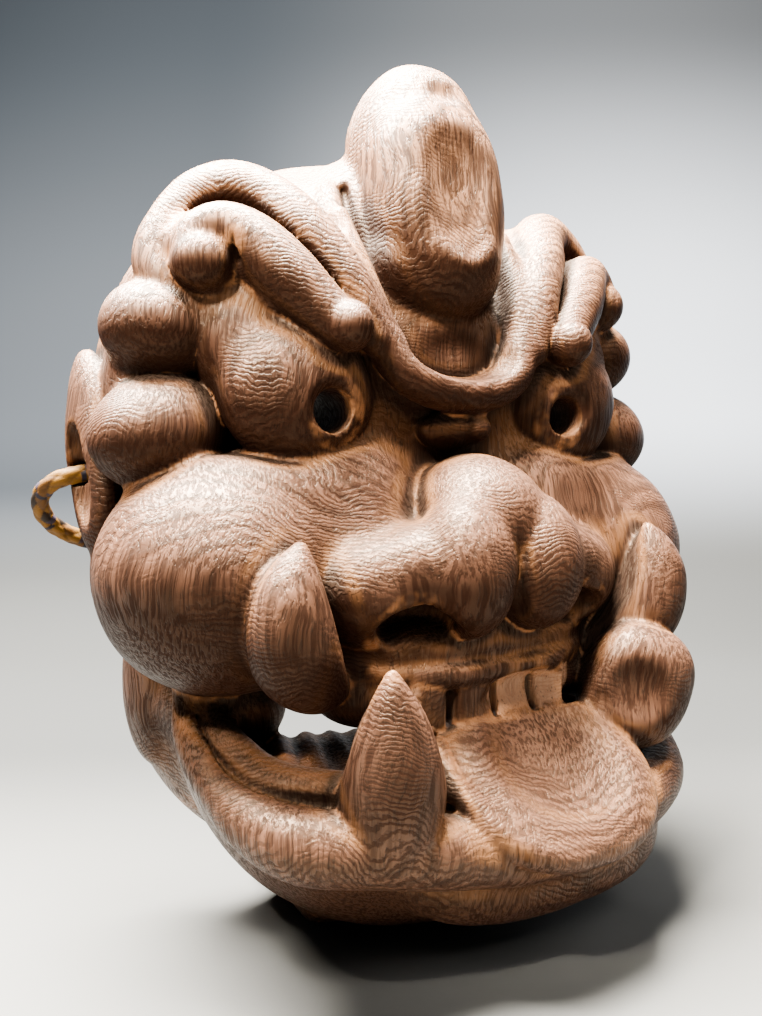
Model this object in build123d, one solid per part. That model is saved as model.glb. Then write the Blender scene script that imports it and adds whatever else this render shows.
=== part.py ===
from build123d import *
import copy
import math
import os
import numpy as np

os.makedirs("parts", exist_ok=True)

# ---------------------------------------------------------------------------
# Carved demon mask with its hanging cord, millimetres.
# Layout coordinates: origin midway between the two eye holes, X to the
# viewer's right, Y away from the viewer, Z up.  PLACE moves the finished
# pieces so that the row's origin is the bottom centre of the carved mask.
# ---------------------------------------------------------------------------
BASE_Z = -118.0            # flat underside of the jaw, in layout coordinates
RIM_Y = 52.0               # flat rim round the open back
PLACE_Y = -8.7             # centres the carved mask front to back
PLACE = Location((0, PLACE_Y, -BASE_Z))
FACET = 5.2                # size of the carved facets

EYE_X = 31.5               # half the distance between the eye holes
EYE_Z = -1.2
EYE_BORE_R = 4.5           # through hole of an eye

CORD_D = 4.0               # braided cord
CORD_HOLE_R = 3.0          # hole through each ear
EAR_Y = 43.5               # hole centre
EAR_Z = -13.0
KNOT_R = 5.2


# ------------------------------------------------------------------ field
class Field:
    """A signed distance field on a regular grid, carved piece by piece (mm)."""

    def __init__(self, lo, hi, vox):
        self.vox = vox
        self.lo = np.array(lo, np.float32)
        self.n = np.ceil((np.array(hi) - np.array(lo)) / vox).astype(int) + 1
        self.ax = [(lo[i] + vox * np.arange(self.n[i])).astype(np.float32) for i in range(3)]
        self.d = np.full(self.n, 30.0, np.float32)

    def block(self, lo, hi):
        s = []
        for i in range(3):
            a = int(max(0, math.floor((lo[i] - self.ax[i][0]) / self.vox)))
            b = int(min(self.n[i], math.ceil((hi[i] - self.ax[i][0]) / self.vox) + 1))
            if b <= a:
                return None, None
            s.append(slice(a, b))
        x = self.ax[0][s[0]][:, None, None]
        y = self.ax[1][s[1]][None, :, None]
        z = self.ax[2][s[2]][None, None, :]
        return tuple(s), (x, y, z)

    def put(self, shape, k=1.0, mode="add", bulge=0.0):
        lo, hi = shape.bounds()
        m = max(k, 1.0) + 3.0 + bulge
        s, p = self.block([v - m for v in lo], [v + m for v in hi])
        if s is None:
            return
        a = self.d[s]
        b = shape.dist(*p)
        if mode == "add":
            self.d[s] = smin(a, b, k)
        elif mode == "cut":
            self.d[s] = -smin(-a, b, k)
        elif mode == "keep":
            self.d[s] = -smin(-a, -b, k)


def smin(a, b, k):
    if k <= 0:
        return np.minimum(a, b)
    h = np.maximum(k - np.abs(a - b), 0.0) / k
    return np.minimum(a, b) - h * h * h * (k / 6.0)


def rotm(rx=0, ry=0, rz=0):
    rx, ry, rz = (math.radians(v) for v in (rx, ry, rz))
    cx, sx, cy, sy, cz, sz = math.cos(rx), math.sin(rx), math.cos(ry), math.sin(ry), math.cos(rz), math.sin(rz)
    X = np.array([[1, 0, 0], [0, cx, -sx], [0, sx, cx]])
    Y = np.array([[cy, 0, sy], [0, 1, 0], [-sy, 0, cy]])
    Z = np.array([[cz, -sz, 0], [sz, cz, 0], [0, 0, 1]])
    return (Z @ Y @ X).astype(np.float32)


class Egg:
    """Ellipsoid; p > 2 squares it off."""

    def __init__(self, c, r, rot=None, p=2.0):
        self.c, self.r, self.p = np.array(c, np.float32), np.array(r, np.float32), p
        self.R = rotm(*rot) if rot is not None else None

    def bounds(self):
        m = float(self.r.max()) if self.R is not None else None
        r = np.array([m] * 3) if m else self.r
        if self.R is not None:
            r = np.sqrt(((self.R * self.r[None, :]) ** 2).sum(1)) if self.p <= 2 else np.abs(self.R) @ self.r
        return self.c - r, self.c + r

    def dist(self, x, y, z):
        x, y, z = x - self.c[0], y - self.c[1], z - self.c[2]
        if self.R is not None:
            R = self.R
            x, y, z = (R[0, 0] * x + R[1, 0] * y + R[2, 0] * z,
                       R[0, 1] * x + R[1, 1] * y + R[2, 1] * z,
                       R[0, 2] * x + R[1, 2] * y + R[2, 2] * z)
        rx, ry, rz = self.r
        if self.p == 2.0:
            k0 = np.sqrt((x / rx) ** 2 + (y / ry) ** 2 + (z / rz) ** 2)
            k1 = np.sqrt((x / rx ** 2) ** 2 + (y / ry ** 2) ** 2 + (z / rz ** 2) ** 2)
            return (k0 * (k0 - 1.0) / np.maximum(k1, 1e-6)).astype(np.float32)
        p = self.p
        ax, ay, az = np.abs(x / rx), np.abs(y / ry), np.abs(z / rz)
        s = ax ** p + ay ** p + az ** p
        k0 = s ** (1 / p)
        g = np.maximum(s, 1e-9) ** (1 / p - 1)
        gx, gy, gz = g * ax ** (p - 1) / rx, g * ay ** (p - 1) / ry, g * az ** (p - 1) / rz
        gn = np.sqrt(gx * gx + gy * gy + gz * gz)
        return ((k0 - 1.0) / np.maximum(gn, 1e-6)).astype(np.float32)


def Ball(c, r):
    return Egg(c, (r, r, r))


class Rod:
    """Tapered round bar from a to b; flat squashes it along a direction."""

    def __init__(self, a, b, ra, rb):
        self.a, self.b = np.array(a, np.float32), np.array(b, np.float32)
        self.ra, self.rb = float(ra), float(rb)

    def bounds(self):
        r = max(self.ra, self.rb)
        return np.minimum(self.a, self.b) - r, np.maximum(self.a, self.b) + r

    def dist(self, x, y, z):
        ba = self.b - self.a
        L2 = float(ba @ ba)
        x, y, z = x - self.a[0], y - self.a[1], z - self.a[2]
        t = np.clip((x * ba[0] + y * ba[1] + z * ba[2]) / L2, 0, 1)
        dx, dy, dz = x - t * ba[0], y - t * ba[1], z - t * ba[2]
        return (np.sqrt(dx * dx + dy * dy + dz * dz) - (self.ra + t * (self.rb - self.ra))).astype(np.float32)


def spline(points, n=8):
    """Centripetal-free Catmull-Rom through the points; columns may hold radii too."""
    P = np.array(points, float)
    Q = np.vstack([2 * P[0] - P[1], P, 2 * P[-1] - P[-2]])
    out = []
    for i in range(1, len(Q) - 2):
        p0, p1, p2, p3 = Q[i - 1], Q[i], Q[i + 1], Q[i + 2]
        for t in np.linspace(0, 1, n, endpoint=False):
            out.append(0.5 * ((2 * p1) + (-p0 + p2) * t + (2 * p0 - 5 * p1 + 4 * p2 - p3) * t * t
                              + (-p0 + 3 * p1 - 3 * p2 + p3) * t ** 3))
    out.append(Q[-2])
    return np.array(out)


class Roll:
    """Round bar along a smooth line: rows of x, y, z, radius."""

    def __init__(self, rows, n=5, flat=None):
        self.q = spline(rows, n).astype(np.float32)
        self.flat = flat

    def bounds(self):
        r = self.q[:, 3].max()
        return self.q[:, :3].min(0) - r, self.q[:, :3].max(0) + r

    def dist(self, x, y, z):
        out = None
        for a, b in zip(self.q[:-1], self.q[1:]):
            ba = b[:3] - a[:3]
            L2 = max(float(ba @ ba), 1e-6)
            u, v, w = x - a[0], y - a[1], z - a[2]
            t = np.clip((u * ba[0] + v * ba[1] + w * ba[2]) / L2, 0, 1)
            dx, dy, dz = u - t * ba[0], v - t * ba[1], w - t * ba[2]
            d = np.sqrt(dx * dx + dy * dy + dz * dz) - (a[3] + t * (b[3] - a[3]))
            out = d if out is None else np.minimum(out, d)
        return out.astype(np.float32)


class Slab:
    """Rounded box."""

    def __init__(self, c, h, rot=None, r=1.0):
        self.c, self.h, self.r = np.array(c, np.float32), np.array(h, np.float32), float(r)
        self.R = rotm(*rot) if rot is not None else np.eye(3, dtype=np.float32)

    def bounds(self):
        e = np.abs(self.R) @ self.h
        return self.c - e, self.c + e

    def dist(self, x, y, z):
        x, y, z = x - self.c[0], y - self.c[1], z - self.c[2]
        R = self.R
        x, y, z = (R[0, 0] * x + R[1, 0] * y + R[2, 0] * z,
                   R[0, 1] * x + R[1, 1] * y + R[2, 1] * z,
                   R[0, 2] * x + R[1, 2] * y + R[2, 2] * z)
        hx, hy, hz = self.h - self.r
        qx, qy, qz = np.abs(x) - hx, np.abs(y) - hy, np.abs(z) - hz
        out = np.sqrt(np.maximum(qx, 0) ** 2 + np.maximum(qy, 0) ** 2 + np.maximum(qz, 0) ** 2)
        return (out + np.minimum(np.maximum(qx, np.maximum(qy, qz)), 0) - self.r).astype(np.float32)


class Half:
    """Half space: inside where n.(p - c) < 0."""

    def __init__(self, c, n, lo=(-200, -200, -200), hi=(200, 200, 200)):
        self.c = np.array(c, np.float32)
        self.n = np.array(n, np.float32) / np.linalg.norm(n)
        self.lo, self.hi = np.array(lo, float), np.array(hi, float)

    def bounds(self):
        return self.lo, self.hi

    def dist(self, x, y, z):
        return ((x - self.c[0]) * self.n[0] + (y - self.c[1]) * self.n[1] + (z - self.c[2]) * self.n[2]).astype(np.float32)


class Meet:
    """What two shapes have in common, with a rounded edge."""

    def __init__(self, a, b, k):
        self.a, self.b, self.k = a, b, k

    def bounds(self):
        (l0, h0), (l1, h1) = self.a.bounds(), self.b.bounds()
        return np.maximum(l0, l1), np.minimum(h0, h1)

    def dist(self, x, y, z):
        return -smin(-self.a.dist(x, y, z), -self.b.dist(x, y, z), self.k)


def flip(shape):
    """The same shape on the other side."""
    import copy
    s = copy.deepcopy(shape)
    if isinstance(s, (Egg, Slab)):
        s.c[0] = -s.c[0]
        if s.R is not None:
            M = np.diag([-1, 1, 1]).astype(np.float32)
            s.R = M @ s.R @ M
    elif isinstance(s, Rod):
        s.a[0] = -s.a[0]
        s.b[0] = -s.b[0]
    elif isinstance(s, Roll):
        s.q[:, 0] = -s.q[:, 0]
    elif isinstance(s, Half):
        s.c[0] = -s.c[0]
        s.n[0] = -s.n[0]
        s.lo[0], s.hi[0] = -s.hi[0], -s.lo[0]
    return s


# ------------------------------------------------------------------ carving
# Layout coordinates: origin midway between the eye holes, X to the viewer's
# right, Y away from the viewer, Z up.  Left means the viewer's left (x < 0).
def sculpt(vox, shift):
    n = math.ceil(86 / vox)
    F = Field((-(n + 0.5) * vox, -46 + shift[1], -127 + shift[2]), ((n + 0.5) * vox, 62, 92), vox)

    def add(s, k=1.5):
        F.put(s, k)

    def cut(s, k=1.5):
        F.put(s, k, "cut")

    def pair(s, k=1.5, mode="add"):
        F.put(s, k, mode)
        F.put(flip(s), k, mode)

    # --- big masses
    add(Egg((0, 50, 5), (67, 46, 60)), 0)
    add(Egg((0, 44, -60), (63, 32, 54)), 10)
    pair(Egg((-27, 37, 29), (31, 22, 22)), 8)             # brow shelf
    pair(Egg((-50, 16, -35), (26.5, 25, 25), (0, 8, 0)), 9)   # cheeks
    pair(Egg((-26, 16, -24), (26, 20, 20)), 10)           # flat between cheek and nose
    add(Egg((0, 20, -52), (48, 32, 26)), 7)               # muzzle

    # --- lower jaw, kept apart from the muzzle by the mouth
    add(Meet(Egg((0, 20, -66), (58.5, 42, 54)), Half((0, 0, -74), (0, -0.12, 1), (-62, -26, -121), (62, 63, -60)), 3), 5)
    cut(Egg((0, -8, -66.5), (54.5, 34, 8.5), None, 2.4), 3)
    cut(Slab((0, 20, -65.8), (50.5, 42, 7.0), None, 5.5), 2.5)

    # --- forehead dome behind the horn, with its furrows
    add(Egg((0, 30, 40), (26, 20, 24)), 5)
    pair(Roll([(-16.5, 11.5, 30, 1.2), (-18.5, 15.5, 42, 1.4), (-18.0, 19.5, 50, 1.2)]), 2.6, "cut")
    pair(Roll([(-20.5, 12.5, 32, 2.2), (-22.5, 16, 41, 2.6), (-21, 22, 50, 2.2)]), 3)

    # --- brow: outer scroll and inner strand on each side
    outer = [(-21.6, 0.6, 14.0, 3.6), (-24.0, 2.6, 20.5, 4.8), (-27.3, 5.8, 28.0, 5.8), (-32.6, 11.0, 36.6, 6.6),
             (-37.6, 17.6, 43.6, 6.9), (-43.8, 22.0, 46.2, 6.9), (-50.6, 24.0, 43.8, 6.6), (-56.0, 24.0, 38.0, 6.2),
             (-59.4, 23.0, 31.6, 5.8), (-59.8, 20.4, 25.4, 5.2), (-57.0, 17.4, 21.8, 4.2), (-53.4, 15.0, 21.4, 2.8)]
    inner = [(-30.2, -0.8, 15.4, 4.8), (-34.6, 2.2, 20.4, 5.8), (-39.6, 5.4, 26.4, 6.6), (-44.6, 9.0, 32.2, 6.4),
             (-49.6, 12.2, 35.6, 5.6), (-54.2, 13.6, 34.8, 4.6), (-56.2, 13.4, 32.0, 4.0)]
    pair(Roll([(-27, 7.0, 15, 5.5), (-35, 11.5, 23.5, 8.0), (-43, 17, 31, 9.5), (-52, 21, 32, 9.5)]), 4)
    pair(Roll([(-21, 9.0, 20, 6.0), (-27.5, 15.5, 33, 7.0), (-37, 24, 41, 8.0)]), 4)
    pair(Roll(outer), 1.6)
    pair(Roll(inner), 1.4)
    pair(Ball((-54.4, 12.6, 28.6), 6.4), 1.0)
    pair(Egg((-29.6, -3.0, 15.4), (4.8, 5.6, 5.2)), 1.0)             # knob of the inner end
    # grooves that part the strands
    pair(Roll([(-27.0, 1.5, 20.6, 0.9), (-33.0, 4.2, 28.2, 1.0), (-38.4, 9.6, 35.8, 1.1), (-44.6, 15.0, 41.2, 1.1),
               (-50.6, 17.8, 41.0, 1.0), (-56.4, 18.6, 37.0, 1.0), (-58.8, 18.0, 30.4, 1.0)], 8), 2.6, "cut")
    pair(Roll([(-49.5, 7.2, 32.2, 0.9), (-49.2, 7.6, 27.8, 1.2), (-51.5, 8.0, 23.2, 1.2)]), 1.4, "cut")

    # --- eyes
    pair(Egg((-35.7, 9.0, 2.6), (17.2, 10.6, 16.0)), 1.2)
    pair(Egg((-43.0, 15.0, 13.0), (13.0, 9.5, 14.0)), 5)
    cut(Egg((0, -3.4, -3.0), (15, 8.2, 6.4)), 5)          # root of the nose
    add(Egg((-0.6, 4.6, -4.8), (8.4, 5.8, 4.4)), 1.4)
    add(Egg((4.2, 1.0, -4.4), (3.8, 4.2, 3.4)), 1.2)

    # --- locks of hair at the temples
    pair(Egg((-60.0, 23.5, 16.2), (12.6, 12.4, 10.4), (0, 10, 0)), 1.0)
    pair(Egg((-61.2, 22.0, -4.9), (14.6, 13.4, 12.0), (0, -14, 0)), 1.0)
    pair(Egg((-62.0, 33.0, 4.0), (7.5, 12, 18)), 2.5)

    # --- cheekbone fold under the eye
    pair(Roll([(-66, 19, -17, 2.6), (-57, 11.5, -14.6, 3.6), (-48, 6.0, -15.6, 4.4), (-38, 3.2, -18.4, 4.2),
               (-29, 3.6, -20.4, 3.0), (-23, 4.6, -21.6, 2.0)]), 5)

    # --- nose
    add(Egg((0, -3.0, -21.8), (13.0, 13.0, 11.6)), 4)
    add(Egg((0, -9.0, -25), (14.5, 11.5, 12)), 5)
    pair(Egg((-9.0, -13.2, -33.4), (10.6, 11.2, 14.8), (-6, 0, 0)), 1.6)
    pair(Egg((-25, 3.0, -29.0), (14, 9.5, 9)), 6)
    pair(Egg((-26.8, -4.4, -38.0), (12.4, 10.6, 11.4), (0, 14, -14)), 3.6)
    pair(Egg((-18.0, -8.6, -34.2), (11.0, 9.4, 9.6), (0, 0, -14)), 4.5)
    cut(Roll([(0, -20.5, -15.5, 0.5), (0, -24.2, -22, 1.0), (0, -24.6, -30, 1.6), (0, -22.0, -38, 2.0), (0, -18.0, -43.5, 2.2)]), 2.4)
    pair(Egg((-20.6, -15.0, -48.0), (10.4, 9.4, 6.8), (18, 12, 0)), 1.2, "cut")
    pair(Egg((-19.0, -8.6, -44.0), (8.6, 8.0, 7.0)), 1.2, "cut")

    # --- upper lip with its edge line, then the teeth
    add(Egg((0, -1.0, -50.5), (30, 11.5, 6.0)), 4)
    lip = [(-27, -5.5, -54.4, 2.0), (-19, -8.6, -55.6, 2.8), (-9, -10.8, -56.2, 3.2), (0, -11.2, -56.0, 3.0),
           (9, -10.8, -56.2, 3.2), (19, -8.6, -55.6, 2.8), (27, -5.5, -54.4, 2.0)]
    add(Roll(lip), 1.4)
    for x0, x1, y in ((-21.2, -11.5, -7.6), (-10.9, -0.6, -8.8), (0.6, 10.4, -8.8), (11.0, 19.6, -7.8)):
        a = 8 if x0 < -11 else (-8 if x1 > 11 else 0)
        add(Slab(((x0 + x1) / 2, y + 1.0, -61.8), ((x1 - x0) / 2, 5.0, 5.6), (4, 0, -a), 1.6), 0.5)
    cut(Roll([(-24, -10.8, -57.6, 0.5), (-11, -13.6, -58.9, 0.5), (0, -14.2, -59.0, 0.5), (11, -13.6, -58.9, 0.5),
              (24, -10.4, -57.6, 0.5)]), 0.8)

    # --- upper tusks: blades that turn up against the cheeks
    pair(Roll([(-34.0, -1.5, -57.0, 3.4), (-38.5, -5.0, -55.4, 5.6), (-43.4, -8.0, -51.6, 7.8), (-46.8, -10.0, -46.6, 8.8),
               (-48.0, -11.2, -40.0, 7.6), (-47.4, -11.8, -33.6, 5.0), (-45.8, -11.8, -28.0, 1.6)], 9), 1.2)
    pair(Roll([(-43.4, -19.0, -27.0, 0.8), (-40.4, -19.6, -34, 2.6), (-38.0, -18.4, -42, 3.8), (-34.6, -15.6, -49, 3.6),
               (-30.0, -11.0, -55, 2.4)], 9), 1.0, "cut")
    pair(Egg((-22.5, 5.0, -60.4), (12.0, 14.0, 8.0)), 3)

    # --- lower jaw: lip roll, gum roll
    lower = [(-56.5, 22.0, -59.0, 3.2), (-58.6, 14.0, -66.5, 3.8), (-56.6, 4.0, -74.6, 4.6), (-52.8, -5.6, -80.0, 6.0),
             (-46.5, -13.6, -82.8, 7.0), (-34.0, -18.6, -84.6, 7.0), (-18.0, -21.6, -87.6, 7.0), (0, -22.8, -90.6, 7.0),
             (18.0, -21.6, -89.6, 7.0), (34.0, -18.6, -88.0, 7.0), (46.5, -13.0, -86.0, 6.8), (53.4, -4.6, -82.2, 6.0),
             (56.6, 5.0, -75.6, 4.6), (58.6, 14.0, -67.0, 3.8), (56.5, 22.0, -59.0, 3.2)]
    add(Roll(lower), 3.6)
    gum = [(-53.5, 17.0, -64.0, 3.0), (-52.0, 9.0, -69.6, 4.2), (-47.6, 0.4, -75.0, 5.0), (-37.0, -8.0, -77.4, 5.2),
           (-20.0, -14.0, -79.2, 5.2), (0, -16.0, -81.0, 5.0), (20.0, -14.0, -79.2, 5.2), (37.0, -8.0, -77.4, 5.2),
           (47.6, 0.4, -75.0, 5.0), (52.0, 9.0, -69.6, 4.2), (53.5, 17.0, -64.0, 3.0)]
    add(Roll(gum), 2.6)
    pair(Roll([(-57.5, 16.0, -62.0, 0.6), (-56.8, 7.0, -69.0, 0.8), (-52.6, -3.4, -73.8, 0.9), (-43.0, -11.0, -76.4, 0.9),
               (-27.0, -17.4, -78.4, 0.9), (-10, -20.6, -81.0, 0.8)]), 2.2, "cut")

    add(Egg((13, -3, -97), (36, 21, 14.5), None, 2.5), 4)  # the chin under the lip

    # --- floor of the mouth behind the gum
    add(Egg((0, 14, -80), (44, 22, 9)), 4)
    add(Slab((-1, 37, -112.5), (29, 19, 5.5), None, 4.5), 7)
    for x0, x1 in ((-43, -37), (-36, -31), (-29, -25.5), (-22, -20)):
        pair(Roll([(x0, 1.0 - 0.2 * (x0 + 43), -75.2, 1.2), ((x0 + x1) / 2, 9, -73.4, 1.7), (x1, 18, -73.0, 1.7)]), 3.4)

    # --- lower tusks
    add(Roll([(-31.2, -17.5, -79.5, 10.2), (-31.4, -19.4, -74.5, 10.2), (-32.0, -21.2, -68.0, 8.8), (-32.8, -22.8, -61.0, 6.4),
              (-33.8, -24.2, -54.5, 3.4), (-34.4, -24.8, -50.4, 1.2)], 9), 1.0)
    add(Egg((38.0, -14.6, -64.0), (13.2, 9.6, 14.6), (0, 24, -24), 2.3), 1.2)
    cut(Egg((27.0, -27.0, -62.6), (15.0, 9.0, 12.6), (0, 24, -24)), 2.2)

    # --- tongue: a dished tongue that hangs over the lower lip
    T = Meet(Egg((8.0, -18.0, -76.8), (25.6, 22.5, 6.2), (42, 0, 0), 2.4),
             Half((0, -9.0, -67.6), (0, 0.55, 1.0), (-20, -40, -100), (36, 2, -60)), 2)
    add(T, 1.2)
    cut(Egg((8.4, -24.4, -70.6), (20.6, 18.5, 6.4), (42, 0, 0), 2.2), 1.4)
    add(Roll([(-16.4, -12.6, -69.6, 2.0), (-17.2, -18.0, -74.4, 2.4), (-15.0, -22.8, -79.0, 2.6), (-11.8, -27.2, -83.4, 2.6),
              (-6.8, -30.8, -86.6, 2.6), (-0.4, -33.0, -88.6, 2.6), (7.2, -33.0, -88.4, 2.4), (15.8, -31.2, -86.6, 2.2),
              (23.6, -27.4, -82.8, 2.0), (28.6, -22.6, -78.4, 1.6)]), 1.6)

    # --- horn: a scroll in two tiers on the forehead
    add(Egg((0, 23, 35), (17.0, 18, 25)), 3)
    add(Egg((0, 12.0, 32.6), (16.4, 17.8, 14.6), (-11, 0, 0)), 2)
    add(Egg((0.6, 17.5, 52.0), (16.0, 17.5, 28.4), (-8, 0, 0), 2.35), 1.6)
    pair(Roll([(-18.6, 13.5, 66, 0.6), (-18.6, 9.5, 56, 1.2), (-18.0, 5.0, 46, 1.6), (-16.2, 1.2, 36.5, 1.8), (-11.0, -3.0, 27.5, 1.8),
               (-4, -5.6, 23.4, 1.6), (1, -5.8, 23.0, 1.5)]), 3, "cut")
    add(Egg((0.0, 9.8, 48.0), (16.0, 12.5, 24.0), (-10, 0, 0), 2.6), 1.4)
    cut(Egg((-1.6, -4.6, 47.0), (10.2, 4.4, 17.0), (-10, 0, 0), 2.3), 1.8)
    cut(Egg((0.4, 2.6, 72.0), (6.0, 3.6, 3.2), (-30, 0, 0)), 3)

    # --- collar of forehead skin under the horn
    add(Egg((0, 12.5, 14), (19, 9.5, 13)), 3)
    collar = [(-22.5, 13.5, 42, 2.4), (-21.8, 8.5, 32, 3.2), (-20.6, 4.8, 23, 3.8), (-18.6, 2.2, 14.6, 4.4), (-14.6, 0.2, 8.0, 4.8),
              (-8.0, -0.8, 4.4, 4.8), (0, -1.2, 3.4, 4.6), (8.0, -0.8, 4.4, 4.8), (14.6, 0.2, 8.0, 4.8), (18.6, 2.2, 14.6, 4.4),
              (20.6, 4.8, 23, 3.8), (21.8, 8.5, 32, 3.2), (22.5, 13.5, 42, 2.4)]
    add(Roll(collar), 3.0)
    cut(Egg((0, -3.6, 12.6), (14.5, 8.0, 6.6), (20, 0, 0)), 3)

    # --- ears, and the flange behind the jaw
    pair(Egg((-69.5, 42.0, -9.0), (5.6, 11.5, 24.0), (-14, 0, 0)), 1.6)
    pair(Egg((-68.5, 36.0, -36.0), (4.0, 7.0, 9.0), (-10, 0, 0)), 1.6)
    pair(Egg((-74.5, 38.5, -14.0), (3.2, 5.0, 12.0), (-16, 0, 0)), 1.0, "cut")
    pair(Egg((-58.0, 43.0, -62.0), (5.6, 10.0, 18.0)), 3)

    # --- hollow the back
    cut(Egg((0, 60, 5), (60, 43, 50)), 0)
    cut(Egg((0, 60, -40), (56, 42, 48)), 6)
    cut(Egg((0, 52, -82), (50, 42, 29)), 6)
    # pocket inside each ear for the cord's knot
    pair(Egg((-49.0, 47.5, -29.0), (9.6, 8.8, 9.4)), 2, "cut")
    pair(Roll([(-49.0, 47, -27, 5.6), (-49.4, 45.6, -19, 5.8), (-52.5, 44.0, -13.8, 5.4)]), 2, "cut")

    # --- inner walls beside the mouth
    pair(Egg((-45.5, 34, -65), (14.5, 21, 13)), 3)

    # the bar of wood runs on past the rim and the base, which are sawn flat later
    cut(Half((0, RIM_Y + 5, 0), (0, -1, 0), (-90, 44, -135), (90, 70, 95)), 0)
    cut(Half((0, 0, BASE_Z - 4.4), (0, 0, 1), (-90, -60, -135), (90, 70, -112)), 0)
    return F


# ------------------------------------------------------------------ mesh
def surface(field):
    """Surface nets: one vertex per crossed cell, one quad per crossed edge."""
    d = field.d
    nx, ny, nz = d.shape
    s = d < 0
    c = np.zeros((nx - 1, ny - 1, nz - 1), np.uint8)
    for i in (0, 1):
        for j in (0, 1):
            for k in (0, 1):
                c += s[i:nx - 1 + i, j:ny - 1 + j, k:nz - 1 + k]
    act = (c > 0) & (c < 8)
    I, J, K = np.nonzero(act)
    idx = np.full(act.shape, -1, np.int32)
    idx[I, J, K] = np.arange(len(I), dtype=np.int32)
    acc = np.zeros((len(I), 3), np.float64)
    cnt = np.zeros(len(I), np.float64)
    corners = [(0, 0, 0), (1, 0, 0), (0, 1, 0), (1, 1, 0), (0, 0, 1), (1, 0, 1), (0, 1, 1), (1, 1, 1)]
    edges = [(a, b) for a in range(8) for b in range(a + 1, 8)
             if sum(abs(corners[a][m] - corners[b][m]) for m in range(3)) == 1]
    vals = [d[I + q[0], J + q[1], K + q[2]].astype(np.float64) for q in corners]
    for a, b in edges:
        va, vb = vals[a], vals[b]
        x = (va < 0) != (vb < 0)
        t = np.where(x, va / np.where(x, va - vb, 1.0), 0.0)
        pa, pb = np.array(corners[a], float), np.array(corners[b], float)
        acc += np.where(x[:, None], pa + t[:, None] * (pb - pa), 0.0)
        cnt += x
    P = acc / cnt[:, None] + np.stack([I, J, K], 1)
    V = field.lo + P * field.vox
    quads = []
    for axis in range(3):
        sl0 = [slice(None)] * 3
        sl1 = [slice(None)] * 3
        sl0[axis] = slice(0, -1)
        sl1[axis] = slice(1, None)
        a, b = s[tuple(sl0)], s[tuple(sl1)]
        cross = a != b
        E = np.array(np.nonzero(cross)).T
        o1, o2 = (axis + 1) % 3, (axis + 2) % 3
        ok = (E[:, o1] > 0) & (E[:, o2] > 0) & (E[:, o1] < d.shape[o1] - 1) & (E[:, o2] < d.shape[o2] - 1)
        E = E[ok]
        inside = a[E[:, 0], E[:, 1], E[:, 2]]
        q = []
        for (u, v) in ((0, 0), (-1, 0), (-1, -1), (0, -1)):
            e = E.copy()
            e[:, o1] += u
            e[:, o2] += v
            q.append(idx[e[:, 0], e[:, 1], e[:, 2]])
        q = np.stack(q, 1)
        q[~inside] = q[~inside][:, ::-1]
        quads.append(q)
    return V, np.vstack(quads)


def settle(field):
    """Close pin-hole corners so that the skin never touches itself."""
    d, eps = field.d, 0.12 * field.vox
    for _ in range(40):
        s = d < 0
        n = 0
        for a1, a2 in ((0, 1), (1, 2), (0, 2)):
            def at(i, j):
                sl = [slice(None)] * 3
                sl[a1] = slice(i, d.shape[a1] - 1 + i)
                sl[a2] = slice(j, d.shape[a2] - 1 + j)
                return tuple(sl)
            p00, p01, p10, p11 = s[at(0, 0)], s[at(0, 1)], s[at(1, 0)], s[at(1, 1)]
            for ins, outs in (((0, 0, 1, 1), (0, 1, 1, 0)), ((0, 1, 1, 0), (0, 0, 1, 1))):
                i1, i2 = s[at(*ins[:2])], s[at(*ins[2:])]
                o1, o2 = s[at(*outs[:2])], s[at(*outs[2:])]
                hit = i1 & i2 & ~o1 & ~o2
                if hit.any():
                    n += int(hit.sum())
                    v1, v2 = d[at(*outs[:2])], d[at(*outs[2:])]
                    first = hit & (v1 <= v2)
                    v1[first] = -eps
                    second = hit & ~first
                    v2[second] = -eps
                    s = d < 0
        c = [s[i:d.shape[0] - 1 + i, j:d.shape[1] - 1 + j, k:d.shape[2] - 1 + k]
             for i in (0, 1) for j in (0, 1) for k in (0, 1)]
        total = sum(q.astype(int) for q in c)
        for i in range(4):
            lone = (total == 2) & c[i] & c[7 - i]
            gap = (total == 6) & ~c[i] & ~c[7 - i]
            for m in (lone, gap):
                if m.any():
                    n += int(m.sum())
                    k = i ^ 1 if m is lone else i
                    off = ((k >> 2) & 1, (k >> 1) & 1, k & 1)
                    v = d[off[0]:d.shape[0] - 1 + off[0], off[1]:d.shape[1] - 1 + off[1], off[2]:d.shape[2] - 1 + off[2]]
                    v[m] = -eps
        if n == 0:
            break


# ------------------------------------------------------------------ solid
def bad_edges(V, T):
    """Edges that are not shared by exactly two facets, and pinched corners."""
    e = np.sort(np.vstack([T[:, [0, 1]], T[:, [1, 2]], T[:, [2, 0]]]), 1)
    u, n = np.unique(e, axis=0, return_counts=True)
    bad = int((n != 2).sum())
    # corners: the facets round each must form one fan
    order = {}
    for a, b, c in T:
        for p, q, r in ((a, b, c), (b, c, a), (c, a, b)):
            order.setdefault(int(p), {}).setdefault(int(q), []).append(int(r))
    pinched = 0
    for p, nxt in order.items():
        start = next(iter(nxt))
        q, k = start, 0
        while k <= len(nxt):
            if q not in nxt:
                break
            q = nxt[q][0]
            k += 1
            if q == start:
                break
        if k != len(nxt):
            pinched += 1
    return bad, pinched


def facets(V, Q):
    """Split each quad along its shorter diagonal."""
    d1 = ((V[Q[:, 0]] - V[Q[:, 2]]) ** 2).sum(1)
    d2 = ((V[Q[:, 1]] - V[Q[:, 3]]) ** 2).sum(1)
    a = Q[d1 <= d2]
    b = Q[d1 > d2]
    return np.vstack([a[:, [0, 1, 2]], a[:, [0, 2, 3]], b[:, [0, 1, 3]], b[:, [1, 2, 3]]])


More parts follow.
